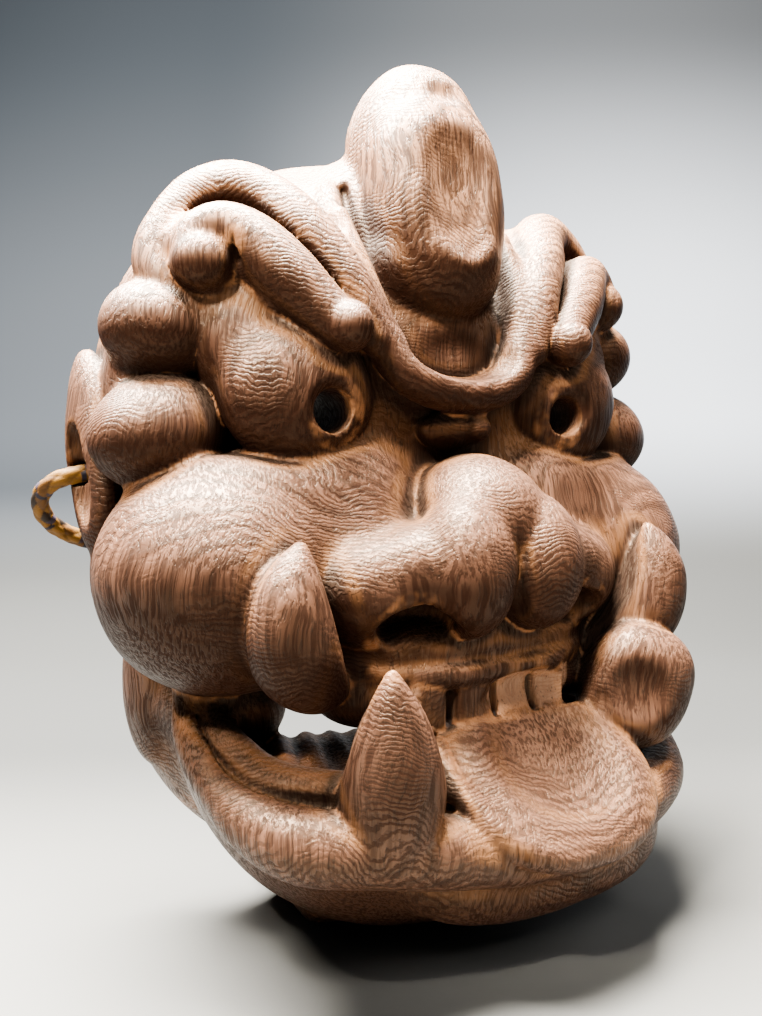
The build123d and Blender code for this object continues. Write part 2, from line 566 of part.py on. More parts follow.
def biggest(V, T):
    """Keep the largest connected piece."""
    lab = np.arange(len(V))
    while True:
        m = lab[T].min(1)
        new = lab.copy()
        for k in range(3):
            np.minimum.at(new, T[:, k], m)
        new = new[new]
        if (new == lab).all():
            break
        lab = new
    keep = np.bincount(lab[T[:, 0]]).argmax()
    T = T[lab[T[:, 0]] == keep]
    used, inv = np.unique(T, return_inverse=True)
    return V[used], inv.reshape(T.shape)


def outward(V, T):
    """Turn the facets so that they face out."""
    a, b, c = (V[T[:, i]] for i in range(3))
    return T if (a * np.cross(b, c)).sum() > 0 else T[:, ::-1]


def solid_of(V, T):
    """A solid bounded by flat facets."""
    corner = [Vector(*[float(round(c, 4)) for c in v]) for v in V]
    faces = [Face(Wire.make_polygon([corner[a], corner[b], corner[c]], close=True)) for a, b, c in T]
    return Solid(Shell(faces))


best = None
for shift in ((0, 0.9, 0.4), (0, 0, 0), (0, 1.8, 1.1), (0, 2.7, 2.2), (0, 3.5, 3.0), (0, 0.5, 1.7), (0, 1.3, 3.6),
              (0, 2.2, 0.8), (0, 3.1, 1.5)):
    F = sculpt(FACET, shift)
    settle(F)
    V, Q = surface(F)
    T = facets(V, Q)
    V, T = biggest(V, T)
    T = outward(V, T)
    score = sum(bad_edges(V, T))
    if best is None or score < best[0]:
        best = (score, shift, V, T)
    if score == 0:
        break
print("facets", len(best[3]), "open or pinched", best[0], "shift", best[1])
carved_mask = solid_of(best[2], best[3])
print("skin volume", round(carved_mask.volume, 1), carved_mask.is_valid)

# open the back at the rim, flatten the underside, then drill the bores
carved_mask = carved_mask - Pos(0, RIM_Y + 50, 0) * Box(300, 100, 300) - Pos(0, 0, BASE_Z - 25) * Box(300, 300, 50)
for sx in (-1, 1):
    axis = Plane(origin=(sx * EYE_X, -14, EYE_Z), z_dir=(0, 1, 0))
    carved_mask = carved_mask - axis * Cylinder(EYE_BORE_R, 54, align=(Align.CENTER, Align.CENTER, Align.MIN))
    ear = Plane(origin=(sx * 50.0, EAR_Y, EAR_Z), z_dir=(sx, 0, 0))
    carved_mask = carved_mask - ear * Cylinder(CORD_HOLE_R, 40.0, align=(Align.CENTER, Align.CENTER, Align.MIN))
solids = sorted(carved_mask.solids(), key=lambda s: -s.volume)
print("block solids", [round(s.volume, 1) for s in solids])
carved_mask = solids[0]
bb = carved_mask.bounding_box()
print("block box", bb.min, bb.max, "valid", carved_mask.is_valid)
print("centre of mass", carved_mask.center())
print("flat rim", [round(f.area, 1) for f in carved_mask.faces() if abs(f.center().Y - RIM_Y) < 0.01][:8])
print("flat base", [round(f.area, 1) for f in carved_mask.faces() if abs(f.center().Z - BASE_Z) < 0.01][:8])

# ---------------------------------------------------------------------------
# 2. The cord: a loop through each ear, a knot inside it, and a slack span
# ---------------------------------------------------------------------------
KNOT = (-49.5, 46.5, -29.0)


def egg(x, y, z, a, b, c):
    """Ellipsoid: centre x, y, z and half axes a, b, c."""
    return Pos(x, y, z) * scale(Sphere(1), by=(a, b, c))


def cord_path(points):
    pts = [Vector(*p) for p in points]
    radii = []
    for a, b, c in zip(pts[:-2], pts[1:-1], pts[2:]):
        u, v = b - a, c - b
        turn = math.radians(u.get_angle(v))
        radii.append(0.45 * min(u.length, v.length) / math.tan(turn / 2))
    return FilletPolyline(*pts, radius=radii), radii


def tube(points, name):
    path, radii = cord_path(points)
    start = Plane(origin=path @ 0, z_dir=path % 0)
    solid = sweep(start * Circle(CORD_D / 2), path=path)
    want = math.pi * (CORD_D / 2) ** 2 * path.length
    print(name, "length", round(path.length, 1), "radii", [round(r, 1) for r in radii],
          "volume", round(solid.volume, 1), "section x length", round(want, 1), solid.is_valid)
    return solid


# left ear loop: from the knot out through the ear hole, round the rim and back
loop_route = [(-49.5, 46.0, -24.8), (-49.9, 44.7, -18.4), (-53.6, 43.6, -14.0), (-60.2, 43.4, -12.9), (-67.0, 43.6, -12.8), (-73.0, 43.4, -13.2), (-78.4, 45.6, -15.0), (-80.2, 50.2, -18.8), (-77.8, 54.9, -23.6), (-72.4, 57.6, -27.4), (-65.6, 57.9, -29.8), (-59.0, 55.8, -30.8), (-54.4, 51.6, -30.6), (-51.6, 48.2, -29.8)]
span_route = [(-46.0, 47.4, -32.0), (-38.0, 48.2, -38.4), (-26.0, 48.8, -43.6), (-10.0, 49.1, -46.2),
              (10.0, 49.1, -46.2), (26.0, 48.8, -43.6), (38.0, 48.2, -38.4), (46.0, 47.4, -32.0)]


def mirrored(points):
    return [(-x, y, z) for x, y, z in points]


knot_l = egg(KNOT[0], KNOT[1], KNOT[2], KNOT_R, KNOT_R * 0.9, KNOT_R * 1.05)
knot_r = mirror(knot_l, about=Plane.YZ)
loop_l = tube(loop_route, "left loop") - knot_l
loop_r = mirror(loop_l, about=Plane.YZ)
span = tube(span_route, "span") - knot_l - knot_r


def one(shape):
    return sorted(shape.solids(), key=lambda s: -s.volume)[0]


nodes = {
    "carved_mask": carved_mask,
    "left_ear_loop": one(loop_l),
    "right_ear_loop": one(loop_r),
    "hanging_cord": one(span),
    "left_knot": one(knot_l),
    "right_knot": one(knot_r),
}
for name, solid in nodes.items():
    placed = PLACE * solid
    b = placed.bounding_box()
    print(name, "volume", round(placed.volume, 1), "box", b.min, b.max, placed.is_valid)
    export_step(placed, "parts/" + name + ".step")
for a in nodes:
    for b in nodes:
        if a < b:
            v = (nodes[a] & nodes[b])
            vol = getattr(v, "volume", 0) if v else 0
            if vol > 0.01:
                print("overlap", a, b, round(vol, 3))
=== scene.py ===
import copy
import math
import bpy
import mathutils
import numpy as np
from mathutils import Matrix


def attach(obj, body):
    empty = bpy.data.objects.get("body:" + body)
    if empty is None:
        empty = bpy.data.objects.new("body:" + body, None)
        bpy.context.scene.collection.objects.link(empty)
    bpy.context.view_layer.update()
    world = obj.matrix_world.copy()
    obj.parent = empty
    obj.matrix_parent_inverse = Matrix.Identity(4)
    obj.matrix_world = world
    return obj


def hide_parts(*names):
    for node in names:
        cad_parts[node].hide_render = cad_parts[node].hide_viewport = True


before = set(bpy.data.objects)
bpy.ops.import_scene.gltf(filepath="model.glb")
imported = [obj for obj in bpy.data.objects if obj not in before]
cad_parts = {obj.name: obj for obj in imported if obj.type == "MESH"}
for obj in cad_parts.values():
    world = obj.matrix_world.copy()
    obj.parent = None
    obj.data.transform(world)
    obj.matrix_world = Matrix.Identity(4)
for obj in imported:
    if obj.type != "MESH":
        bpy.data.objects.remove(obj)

# Layout coordinates (mm): origin midway between the eye holes, X to the
# viewer's right, Y away, Z up.  The row frame is layout plus this offset.
OX, OY, OZ = 0.0, -8.7, 118.0


# ------------------------------------------------------------------ field
class Field:
    """A signed distance field on a regular grid, carved piece by piece (mm)."""

    def __init__(self, lo, hi, vox):
        self.vox = vox
        self.lo = np.array(lo, np.float32)
        self.n = np.ceil((np.array(hi) - np.array(lo)) / vox).astype(int) + 1
        self.ax = [(lo[i] + vox * np.arange(self.n[i])).astype(np.float32) for i in range(3)]
        self.d = np.full(self.n, 30.0, np.float32)

    def block(self, lo, hi):
        s = []
        for i in range(3):
            a = int(max(0, math.floor((lo[i] - self.ax[i][0]) / self.vox)))
            b = int(min(self.n[i], math.ceil((hi[i] - self.ax[i][0]) / self.vox) + 1))
            if b <= a:
                return None, None
            s.append(slice(a, b))
        x = self.ax[0][s[0]][:, None, None]
        y = self.ax[1][s[1]][None, :, None]
        z = self.ax[2][s[2]][None, None, :]
        return tuple(s), (x, y, z)

    def put(self, shape, k=1.0, mode="add", bulge=0.0):
        lo, hi = shape.bounds()
        m = max(k, 1.0) + 3.0 + bulge
        s, p = self.block([v - m for v in lo], [v + m for v in hi])
        if s is None:
            return
        a = self.d[s]
        b = shape.dist(*p)
        if mode == "add":
            self.d[s] = smin(a, b, k)
        elif mode == "cut":
            self.d[s] = -smin(-a, b, k)
        elif mode == "keep":
            self.d[s] = -smin(-a, -b, k)


def smin(a, b, k):
    if k <= 0:
        return np.minimum(a, b)
    h = np.maximum(k - np.abs(a - b), 0.0) / k
    return np.minimum(a, b) - h * h * h * (k / 6.0)


def rotm(rx=0, ry=0, rz=0):
    rx, ry, rz = (math.radians(v) for v in (rx, ry, rz))
    cx, sx, cy, sy, cz, sz = math.cos(rx), math.sin(rx), math.cos(ry), math.sin(ry), math.cos(rz), math.sin(rz)
    X = np.array([[1, 0, 0], [0, cx, -sx], [0, sx, cx]])
    Y = np.array([[cy, 0, sy], [0, 1, 0], [-sy, 0, cy]])
    Z = np.array([[cz, -sz, 0], [sz, cz, 0], [0, 0, 1]])
    return (Z @ Y @ X).astype(np.float32)


class Egg:
    """Ellipsoid; p > 2 squares it off."""

    def __init__(self, c, r, rot=None, p=2.0):
        self.c, self.r, self.p = np.array(c, np.float32), np.array(r, np.float32), p
        self.R = rotm(*rot) if rot is not None else None

    def bounds(self):
        m = float(self.r.max()) if self.R is not None else None
        r = np.array([m] * 3) if m else self.r
        if self.R is not None:
            r = np.sqrt(((self.R * self.r[None, :]) ** 2).sum(1)) if self.p <= 2 else np.abs(self.R) @ self.r
        return self.c - r, self.c + r

    def dist(self, x, y, z):
        x, y, z = x - self.c[0], y - self.c[1], z - self.c[2]
        if self.R is not None:
            R = self.R
            x, y, z = (R[0, 0] * x + R[1, 0] * y + R[2, 0] * z,
                       R[0, 1] * x + R[1, 1] * y + R[2, 1] * z,
                       R[0, 2] * x + R[1, 2] * y + R[2, 2] * z)
        rx, ry, rz = self.r
        if self.p == 2.0:
            k0 = np.sqrt((x / rx) ** 2 + (y / ry) ** 2 + (z / rz) ** 2)
            k1 = np.sqrt((x / rx ** 2) ** 2 + (y / ry ** 2) ** 2 + (z / rz ** 2) ** 2)
            return (k0 * (k0 - 1.0) / np.maximum(k1, 1e-6)).astype(np.float32)
        p = self.p
        ax, ay, az = np.abs(x / rx), np.abs(y / ry), np.abs(z / rz)
        s = ax ** p + ay ** p + az ** p
        k0 = s ** (1 / p)
        g = np.maximum(s, 1e-9) ** (1 / p - 1)
        gx, gy, gz = g * ax ** (p - 1) / rx, g * ay ** (p - 1) / ry, g * az ** (p - 1) / rz
        gn = np.sqrt(gx * gx + gy * gy + gz * gz)
        return ((k0 - 1.0) / np.maximum(gn, 1e-6)).astype(np.float32)


def Ball(c, r):
    return Egg(c, (r, r, r))


class Rod:
    """Tapered round bar from a to b."""

    def __init__(self, a, b, ra, rb):
        self.a, self.b = np.array(a, np.float32), np.array(b, np.float32)
        self.ra, self.rb = float(ra), float(rb)

    def bounds(self):
        r = max(self.ra, self.rb)
        return np.minimum(self.a, self.b) - r, np.maximum(self.a, self.b) + r

    def dist(self, x, y, z):
        ba = self.b - self.a
        L2 = float(ba @ ba)
        x, y, z = x - self.a[0], y - self.a[1], z - self.a[2]
        t = np.clip((x * ba[0] + y * ba[1] + z * ba[2]) / L2, 0, 1)
        dx, dy, dz = x - t * ba[0], y - t * ba[1], z - t * ba[2]
        return (np.sqrt(dx * dx + dy * dy + dz * dz) - (self.ra + t * (self.rb - self.ra))).astype(np.float32)


def spline(points, n=8):
    """Centripetal-free Catmull-Rom through the points; columns may hold radii too."""
    P = np.array(points, float)
    Q = np.vstack([2 * P[0] - P[1], P, 2 * P[-1] - P[-2]])
    out = []
    for i in range(1, len(Q) - 2):
        p0, p1, p2, p3 = Q[i - 1], Q[i], Q[i + 1], Q[i + 2]
        for t in np.linspace(0, 1, n, endpoint=False):
            out.append(0.5 * ((2 * p1) + (-p0 + p2) * t + (2 * p0 - 5 * p1 + 4 * p2 - p3) * t * t
                              + (-p0 + 3 * p1 - 3 * p2 + p3) * t ** 3))
    out.append(Q[-2])
    return np.array(out)


class Roll:
    """Round bar along a smooth line: rows of x, y, z, radius."""

    def __init__(self, rows, n=5, flat=None):
        self.q = spline(rows, n).astype(np.float32)
        self.flat = flat

    def bounds(self):
        r = self.q[:, 3].max()
        return self.q[:, :3].min(0) - r, self.q[:, :3].max(0) + r

    def dist(self, x, y, z):
        out = None
        for a, b in zip(self.q[:-1], self.q[1:]):
            ba = b[:3] - a[:3]
            L2 = max(float(ba @ ba), 1e-6)
            u, v, w = x - a[0], y - a[1], z - a[2]
            t = np.clip((u * ba[0] + v * ba[1] + w * ba[2]) / L2, 0, 1)
            dx, dy, dz = u - t * ba[0], v - t * ba[1], w - t * ba[2]
            d = np.sqrt(dx * dx + dy * dy + dz * dz) - (a[3] + t * (b[3] - a[3]))
            out = d if out is None else np.minimum(out, d)
        return out.astype(np.float32)


class Slab:
    """Rounded box."""

    def __init__(self, c, h, rot=None, r=1.0):
        self.c, self.h, self.r = np.array(c, np.float32), np.array(h, np.float32), float(r)
        self.R = rotm(*rot) if rot is not None else np.eye(3, dtype=np.float32)

    def bounds(self):
        e = np.abs(self.R) @ self.h
        return self.c - e, self.c + e

    def dist(self, x, y, z):
        x, y, z = x - self.c[0], y - self.c[1], z - self.c[2]
        R = self.R
        x, y, z = (R[0, 0] * x + R[1, 0] * y + R[2, 0] * z,
                   R[0, 1] * x + R[1, 1] * y + R[2, 1] * z,
                   R[0, 2] * x + R[1, 2] * y + R[2, 2] * z)
        hx, hy, hz = self.h - self.r
        qx, qy, qz = np.abs(x) - hx, np.abs(y) - hy, np.abs(z) - hz
        out = np.sqrt(np.maximum(qx, 0) ** 2 + np.maximum(qy, 0) ** 2 + np.maximum(qz, 0) ** 2)
        return (out + np.minimum(np.maximum(qx, np.maximum(qy, qz)), 0) - self.r).astype(np.float32)


class Half:
    """Half space: inside where n.(p - c) < 0."""

    def __init__(self, c, n, lo=(-200, -200, -200), hi=(200, 200, 200)):
        self.c = np.array(c, np.float32)
        self.n = np.array(n, np.float32) / np.linalg.norm(n)
        self.lo, self.hi = np.array(lo, float), np.array(hi, float)

    def bounds(self):
        return self.lo, self.hi

    def dist(self, x, y, z):
        return ((x - self.c[0]) * self.n[0] + (y - self.c[1]) * self.n[1] + (z - self.c[2]) * self.n[2]).astype(np.float32)


class Meet:
    """What two shapes have in common, with a rounded edge."""

    def __init__(self, a, b, k):
        self.a, self.b, self.k = a, b, k

    def bounds(self):
        (l0, h0), (l1, h1) = self.a.bounds(), self.b.bounds()
        return np.maximum(l0, l1), np.minimum(h0, h1)

    def dist(self, x, y, z):
        return -smin(-self.a.dist(x, y, z), -self.b.dist(x, y, z), self.k)


def flip(shape):
    """The same shape on the other side."""
    s = copy.deepcopy(shape)
    if isinstance(s, (Egg, Slab)):
        s.c[0] = -s.c[0]
        if s.R is not None:
            M = np.diag([-1, 1, 1]).astype(np.float32)
            s.R = M @ s.R @ M
    elif isinstance(s, Rod):
        s.a[0] = -s.a[0]
        s.b[0] = -s.b[0]
    elif isinstance(s, Roll):
        s.q[:, 0] = -s.q[:, 0]
    elif isinstance(s, Half):
        s.c[0] = -s.c[0]
        s.n[0] = -s.n[0]
        s.lo[0], s.hi[0] = -s.hi[0], -s.lo[0]
    return s


# ------------------------------------------------------------------ carving
# Layout coordinates: origin midway between the eye holes, X to the viewer's
# right, Y away from the viewer, Z up.  Left means the viewer's left (x < 0).
def sculpt(vox):
    F = Field((-84, -46, -119.5), (84, 54, 90), vox)

    def add(s, k=1.5):
        F.put(s, k)

    def cut(s, k=1.5):
        F.put(s, k, "cut")

    def pair(s, k=1.5, mode="add"):
        F.put(s, k, mode)
        F.put(flip(s), k, mode)

    # --- big masses
    add(Egg((0, 50, 5), (67, 46, 60)), 0)
    add(Egg((0, 44, -60), (63, 32, 54)), 10)
    pair(Egg((-27, 37, 29), (31, 22, 22)), 8)             # brow shelf
    pair(Egg((-50, 16, -35), (26.5, 25, 25), (0, 8, 0)), 9)   # cheeks
    pair(Egg((-26, 16, -24), (26, 20, 20)), 10)           # flat between cheek and nose
    add(Egg((0, 20, -52), (48, 32, 26)), 7)               # muzzle

    # --- lower jaw, kept apart from the muzzle by the mouth
    add(Meet(Egg((0, 20, -66), (58.5, 42, 54)), Half((0, 0, -74), (0, -0.12, 1), (-62, -26, -121), (62, 63, -60)), 3), 5)
    cut(Egg((0, -8, -66.5), (54.5, 34, 8.5), None, 2.4), 3)
    cut(Slab((0, 20, -65.8), (50.5, 42, 7.0), None, 5.5), 2.5)

    # --- forehead dome behind the horn, with its furrows
    add(Egg((0, 30, 40), (26, 20, 24)), 5)
    pair(Roll([(-16.5, 11.5, 30, 1.2), (-18.5, 15.5, 42, 1.4), (-18.0, 19.5, 50, 1.2)]), 2.6, "cut")
    pair(Roll([(-20.5, 12.5, 32, 2.2), (-22.5, 16, 41, 2.6), (-21, 22, 50, 2.2)]), 3)

    # --- brow: outer scroll and inner strand on each side
    outer = [(-21.6, 0.6, 14.0, 3.6), (-24.0, 2.6, 20.5, 4.8), (-27.3, 5.8, 28.0, 5.8), (-32.6, 11.0, 36.6, 6.6),
             (-37.6, 17.6, 43.6, 6.9), (-43.8, 22.0, 46.2, 6.9), (-50.6, 24.0, 43.8, 6.6), (-56.0, 24.0, 38.0, 6.2),
             (-59.4, 23.0, 31.6, 5.8), (-59.8, 20.4, 25.4, 5.2), (-57.0, 17.4, 21.8, 4.2), (-53.4, 15.0, 21.4, 2.8)]
    inner = [(-30.2, -0.8, 15.4, 4.8), (-34.6, 2.2, 20.4, 5.8), (-39.6, 5.4, 26.4, 6.6), (-44.6, 9.0, 32.2, 6.4),
             (-49.6, 12.2, 35.6, 5.6), (-54.2, 13.6, 34.8, 4.6), (-56.2, 13.4, 32.0, 4.0)]
    pair(Roll([(-27, 7.0, 15, 5.5), (-35, 11.5, 23.5, 8.0), (-43, 17, 31, 9.5), (-52, 21, 32, 9.5)]), 4)
    pair(Roll([(-21, 9.0, 20, 6.0), (-27.5, 15.5, 33, 7.0), (-37, 24, 41, 8.0)]), 4)
    pair(Roll(outer), 1.6)
    pair(Roll(inner), 1.4)
    pair(Ball((-54.4, 12.6, 28.6), 6.4), 1.0)
    pair(Egg((-29.6, -3.0, 15.4), (4.8, 5.6, 5.2)), 1.0)             # knob of the inner end
    # grooves that part the strands
    pair(Roll([(-27.0, 1.5, 20.6, 0.9), (-33.0, 4.2, 28.2, 1.0), (-38.4, 9.6, 35.8, 1.1), (-44.6, 15.0, 41.2, 1.1),
               (-50.6, 17.8, 41.0, 1.0), (-56.4, 18.6, 37.0, 1.0), (-58.8, 18.0, 30.4, 1.0)], 8), 2.6, "cut")
    pair(Roll([(-49.5, 7.2, 32.2, 0.9), (-49.2, 7.6, 27.8, 1.2), (-51.5, 8.0, 23.2, 1.2)]), 1.4, "cut")

    # --- eyes
    pair(Egg((-35.7, 9.0, 2.6), (17.2, 10.6, 16.0)), 1.2)
    pair(Egg((-43.0, 15.0, 13.0), (13.0, 9.5, 14.0)), 5)
    cut(Egg((0, -3.4, -3.0), (15, 8.2, 6.4)), 5)          # root of the nose
    add(Egg((-0.6, 4.6, -4.8), (8.4, 5.8, 4.4)), 1.4)
    add(Egg((4.2, 1.0, -4.4), (3.8, 4.2, 3.4)), 1.2)

    # --- locks of hair at the temples
    pair(Egg((-60.0, 23.5, 16.2), (12.6, 12.4, 10.4), (0, 10, 0)), 1.0)
    pair(Egg((-61.2, 22.0, -4.9), (14.6, 13.4, 12.0), (0, -14, 0)), 1.0)
    pair(Egg((-62.0, 33.0, 4.0), (7.5, 12, 18)), 2.5)

    # --- cheekbone fold under the eye
    pair(Roll([(-66, 19, -17, 2.6), (-57, 11.5, -14.6, 3.6), (-48, 6.0, -15.6, 4.4), (-38, 3.2, -18.4, 4.2),
               (-29, 3.6, -20.4, 3.0), (-23, 4.6, -21.6, 2.0)]), 5)

    # --- nose
    add(Egg((0, -3.0, -21.8), (13.0, 13.0, 11.6)), 4)
    add(Egg((0, -9.0, -25), (14.5, 11.5, 12)), 5)
    pair(Egg((-9.0, -13.2, -33.4), (10.6, 11.2, 14.8), (-6, 0, 0)), 1.6)
    pair(Egg((-25, 3.0, -29.0), (14, 9.5, 9)), 6)
    pair(Egg((-26.8, -4.4, -38.0), (12.4, 10.6, 11.4), (0, 14, -14)), 3.6)
    pair(Egg((-18.0, -8.6, -34.2), (11.0, 9.4, 9.6), (0, 0, -14)), 4.5)
    cut(Roll([(0, -20.5, -15.5, 0.5), (0, -24.2, -22, 1.0), (0, -24.6, -30, 1.6), (0, -22.0, -38, 2.0), (0, -18.0, -43.5, 2.2)]), 2.4)
    pair(Egg((-20.6, -15.0, -48.0), (10.4, 9.4, 6.8), (18, 12, 0)), 1.2, "cut")
    pair(Egg((-19.0, -8.6, -44.0), (8.6, 8.0, 7.0)), 1.2, "cut")

    # --- upper lip with its edge line, then the teeth
    add(Egg((0, -1.0, -50.5), (30, 11.5, 6.0)), 4)
    lip = [(-27, -5.5, -54.4, 2.0), (-19, -8.6, -55.6, 2.8), (-9, -10.8, -56.2, 3.2), (0, -11.2, -56.0, 3.0),
           (9, -10.8, -56.2, 3.2), (19, -8.6, -55.6, 2.8), (27, -5.5, -54.4, 2.0)]
    add(Roll(lip), 1.4)
    for x0, x1, y in ((-21.0, -12.2, -7.8), (-10.7, -1.0, -9.2), (0.8, 9.9, -9.2), (11.5, 19.4, -8.0)):
        a = 8 if x0 < -11 else (-8 if x1 > 11 else 0)
        add(Slab(((x0 + x1) / 2, y + 1.0, -61.8), ((x1 - x0) / 2, 5.0, 5.6), (4, 0, -a), 1.8), 0.3)
    add(Slab((-0.8, -5.6, -61.2), (19.6, 2.2, 4.8), (0, 0, 0), 1.2), 0.3)
    cut(Roll([(-24, -10.8, -57.6, 0.5), (-11, -13.6, -58.9, 0.5), (0, -14.2, -59.0, 0.5), (11, -13.6, -58.9, 0.5),
              (24, -10.4, -57.6, 0.5)]), 0.8)

    # --- upper tusks: blades that turn up against the cheeks
    pair(Roll([(-34.0, -1.5, -57.0, 3.4), (-38.5, -5.0, -55.4, 5.6), (-43.4, -8.0, -51.6, 7.8), (-46.8, -10.0, -46.6, 8.8),
               (-48.0, -11.2, -40.0, 7.6), (-47.4, -11.8, -33.6, 5.0), (-45.8, -11.8, -28.0, 1.6)], 9), 1.2)
    pair(Roll([(-43.4, -19.0, -27.0, 0.8), (-40.4, -19.6, -34, 2.6), (-38.0, -18.4, -42, 3.8), (-34.6, -15.6, -49, 3.6),
               (-30.0, -11.0, -55, 2.4)], 9), 1.0, "cut")
    pair(Egg((-22.5, 5.0, -60.4), (12.0, 14.0, 8.0)), 3)

    # --- lower jaw: lip roll, gum roll
    lower = [(-56.5, 22.0, -59.0, 3.2), (-58.6, 14.0, -66.5, 3.8), (-56.6, 4.0, -74.6, 4.6), (-52.8, -5.6, -80.0, 6.0),
             (-46.5, -13.6, -82.8, 7.0), (-34.0, -18.6, -84.6, 7.0), (-18.0, -21.6, -87.6, 7.0), (0, -22.8, -90.6, 7.0),
             (18.0, -21.6, -89.6, 7.0), (34.0, -18.6, -88.0, 7.0), (46.5, -13.0, -86.0, 6.8), (53.4, -4.6, -82.2, 6.0),
             (56.6, 5.0, -75.6, 4.6), (58.6, 14.0, -67.0, 3.8), (56.5, 22.0, -59.0, 3.2)]
    add(Roll(lower), 3.6)
    gum = [(-53.5, 17.0, -64.0, 3.0), (-52.0, 9.0, -69.6, 4.2), (-47.6, 0.4, -75.0, 5.0), (-37.0, -8.0, -77.4, 5.2),
           (-20.0, -14.0, -79.2, 5.2), (0, -16.0, -81.0, 5.0), (20.0, -14.0, -79.2, 5.2), (37.0, -8.0, -77.4, 5.2),
           (47.6, 0.4, -75.0, 5.0), (52.0, 9.0, -69.6, 4.2), (53.5, 17.0, -64.0, 3.0)]
    add(Roll(gum), 2.6)
    pair(Roll([(-57.5, 16.0, -62.0, 0.6), (-56.8, 7.0, -69.0, 0.8), (-52.6, -3.4, -73.8, 0.9), (-43.0, -11.0, -76.4, 0.9),
               (-27.0, -17.4, -78.4, 0.9), (-10, -20.6, -81.0, 0.8)]), 2.2, "cut")

    add(Egg((13, -3, -97), (36, 21, 14.5), None, 2.5), 4)  # the chin under the lip

    # --- floor of the mouth behind the gum
    add(Egg((0, 14, -80), (44, 22, 9)), 4)
    add(Slab((-1, 37, -112.5), (29, 19, 5.5), None, 4.5), 7)
    for x0, x1 in ((-43, -37), (-36, -31), (-29, -25.5), (-22, -20)):
        pair(Roll([(x0, 1.0 - 0.2 * (x0 + 43), -75.2, 1.2), ((x0 + x1) / 2, 9, -73.4, 1.7), (x1, 18, -73.0, 1.7)]), 3.4)

    # --- lower tusks
    add(Roll([(-31.2, -17.5, -79.5, 10.2), (-31.4, -19.4, -74.5, 10.2), (-32.0, -21.2, -68.0, 8.8), (-32.8, -22.8, -61.0, 6.4),
              (-33.8, -24.2, -54.5, 3.4), (-34.4, -24.8, -50.4, 1.2)], 9), 1.0)
    add(Egg((38.0, -14.6, -64.0), (13.2, 9.6, 14.6), (0, 24, -24), 2.3), 1.2)
    cut(Egg((27.0, -27.0, -62.6), (15.0, 9.0, 12.6), (0, 24, -24)), 2.2)

    # --- tongue: a dished tongue that hangs over the lower lip
    T = Meet(Egg((8.0, -18.0, -76.8), (25.6, 22.5, 6.2), (42, 0, 0), 2.4),
             Half((0, -9.0, -67.6), (0, 0.55, 1.0), (-20, -40, -100), (36, 2, -60)), 2)
    add(T, 1.2)
    cut(Egg((8.4, -24.4, -70.6), (20.6, 18.5, 6.4), (42, 0, 0), 2.2), 1.4)
    add(Roll([(-16.4, -12.6, -69.6, 2.0), (-17.2, -18.0, -74.4, 2.4), (-15.0, -22.8, -79.0, 2.6), (-11.8, -27.2, -83.4, 2.6),
              (-6.8, -30.8, -86.6, 2.6), (-0.4, -33.0, -88.6, 2.6), (7.2, -33.0, -88.4, 2.4), (15.8, -31.2, -86.6, 2.2),
              (23.6, -27.4, -82.8, 2.0), (28.6, -22.6, -78.4, 1.6)]), 1.6)

    # --- horn: a scroll in two tiers on the forehead
    add(Egg((0, 23, 35), (17.0, 18, 25)), 3)
    add(Egg((0, 12.0, 32.6), (16.4, 17.8, 14.6), (-11, 0, 0)), 2)
    add(Egg((0.6, 17.5, 52.0), (16.0, 17.5, 28.4), (-8, 0, 0), 2.35), 1.6)
    pair(Roll([(-18.6, 13.5, 66, 0.6), (-18.6, 9.5, 56, 1.2), (-18.0, 5.0, 46, 1.6), (-16.2, 1.2, 36.5, 1.8), (-11.0, -3.0, 27.5, 1.8),
               (-4, -5.6, 23.4, 1.6), (1, -5.8, 23.0, 1.5)]), 3, "cut")
    add(Egg((0.0, 9.8, 48.0), (16.0, 12.5, 24.0), (-10, 0, 0), 2.6), 1.4)
    cut(Egg((-1.6, -4.6, 47.0), (10.2, 4.4, 17.0), (-10, 0, 0), 2.3), 1.8)
    cut(Egg((0.4, 2.6, 72.0), (6.0, 3.6, 3.2), (-30, 0, 0)), 3)

    # --- collar of forehead skin under the horn
    add(Egg((0, 12.5, 14), (19, 9.5, 13)), 3)
    collar = [(-22.5, 13.5, 42, 2.4), (-21.8, 8.5, 32, 3.2), (-20.6, 4.8, 23, 3.8), (-18.6, 2.2, 14.6, 4.4), (-14.6, 0.2, 8.0, 4.8),
              (-8.0, -0.8, 4.4, 4.8), (0, -1.2, 3.4, 4.6), (8.0, -0.8, 4.4, 4.8), (14.6, 0.2, 8.0, 4.8), (18.6, 2.2, 14.6, 4.4),
              (20.6, 4.8, 23, 3.8), (21.8, 8.5, 32, 3.2), (22.5, 13.5, 42, 2.4)]
    add(Roll(collar), 3.0)
    cut(Egg((0, -3.6, 12.6), (14.5, 8.0, 6.6), (20, 0, 0)), 3)

    # --- ears, and the flange behind the jaw
    pair(Egg((-69.5, 42.0, -9.0), (5.6, 11.5, 24.0), (-14, 0, 0)), 1.6)
    pair(Egg((-68.5, 36.0, -36.0), (4.0, 7.0, 9.0), (-10, 0, 0)), 1.6)
    pair(Egg((-74.5, 38.5, -14.0), (3.2, 5.0, 12.0), (-16, 0, 0)), 1.0, "cut")
    pair(Egg((-58.0, 43.0, -62.0), (5.6, 10.0, 18.0)), 3)

    # --- hollow the back
    cut(Egg((0, 60, 5), (60, 43, 50)), 0)
    cut(Egg((0, 60, -40), (56, 42, 48)), 6)
    cut(Egg((0, 52, -82), (50, 42, 29)), 6)
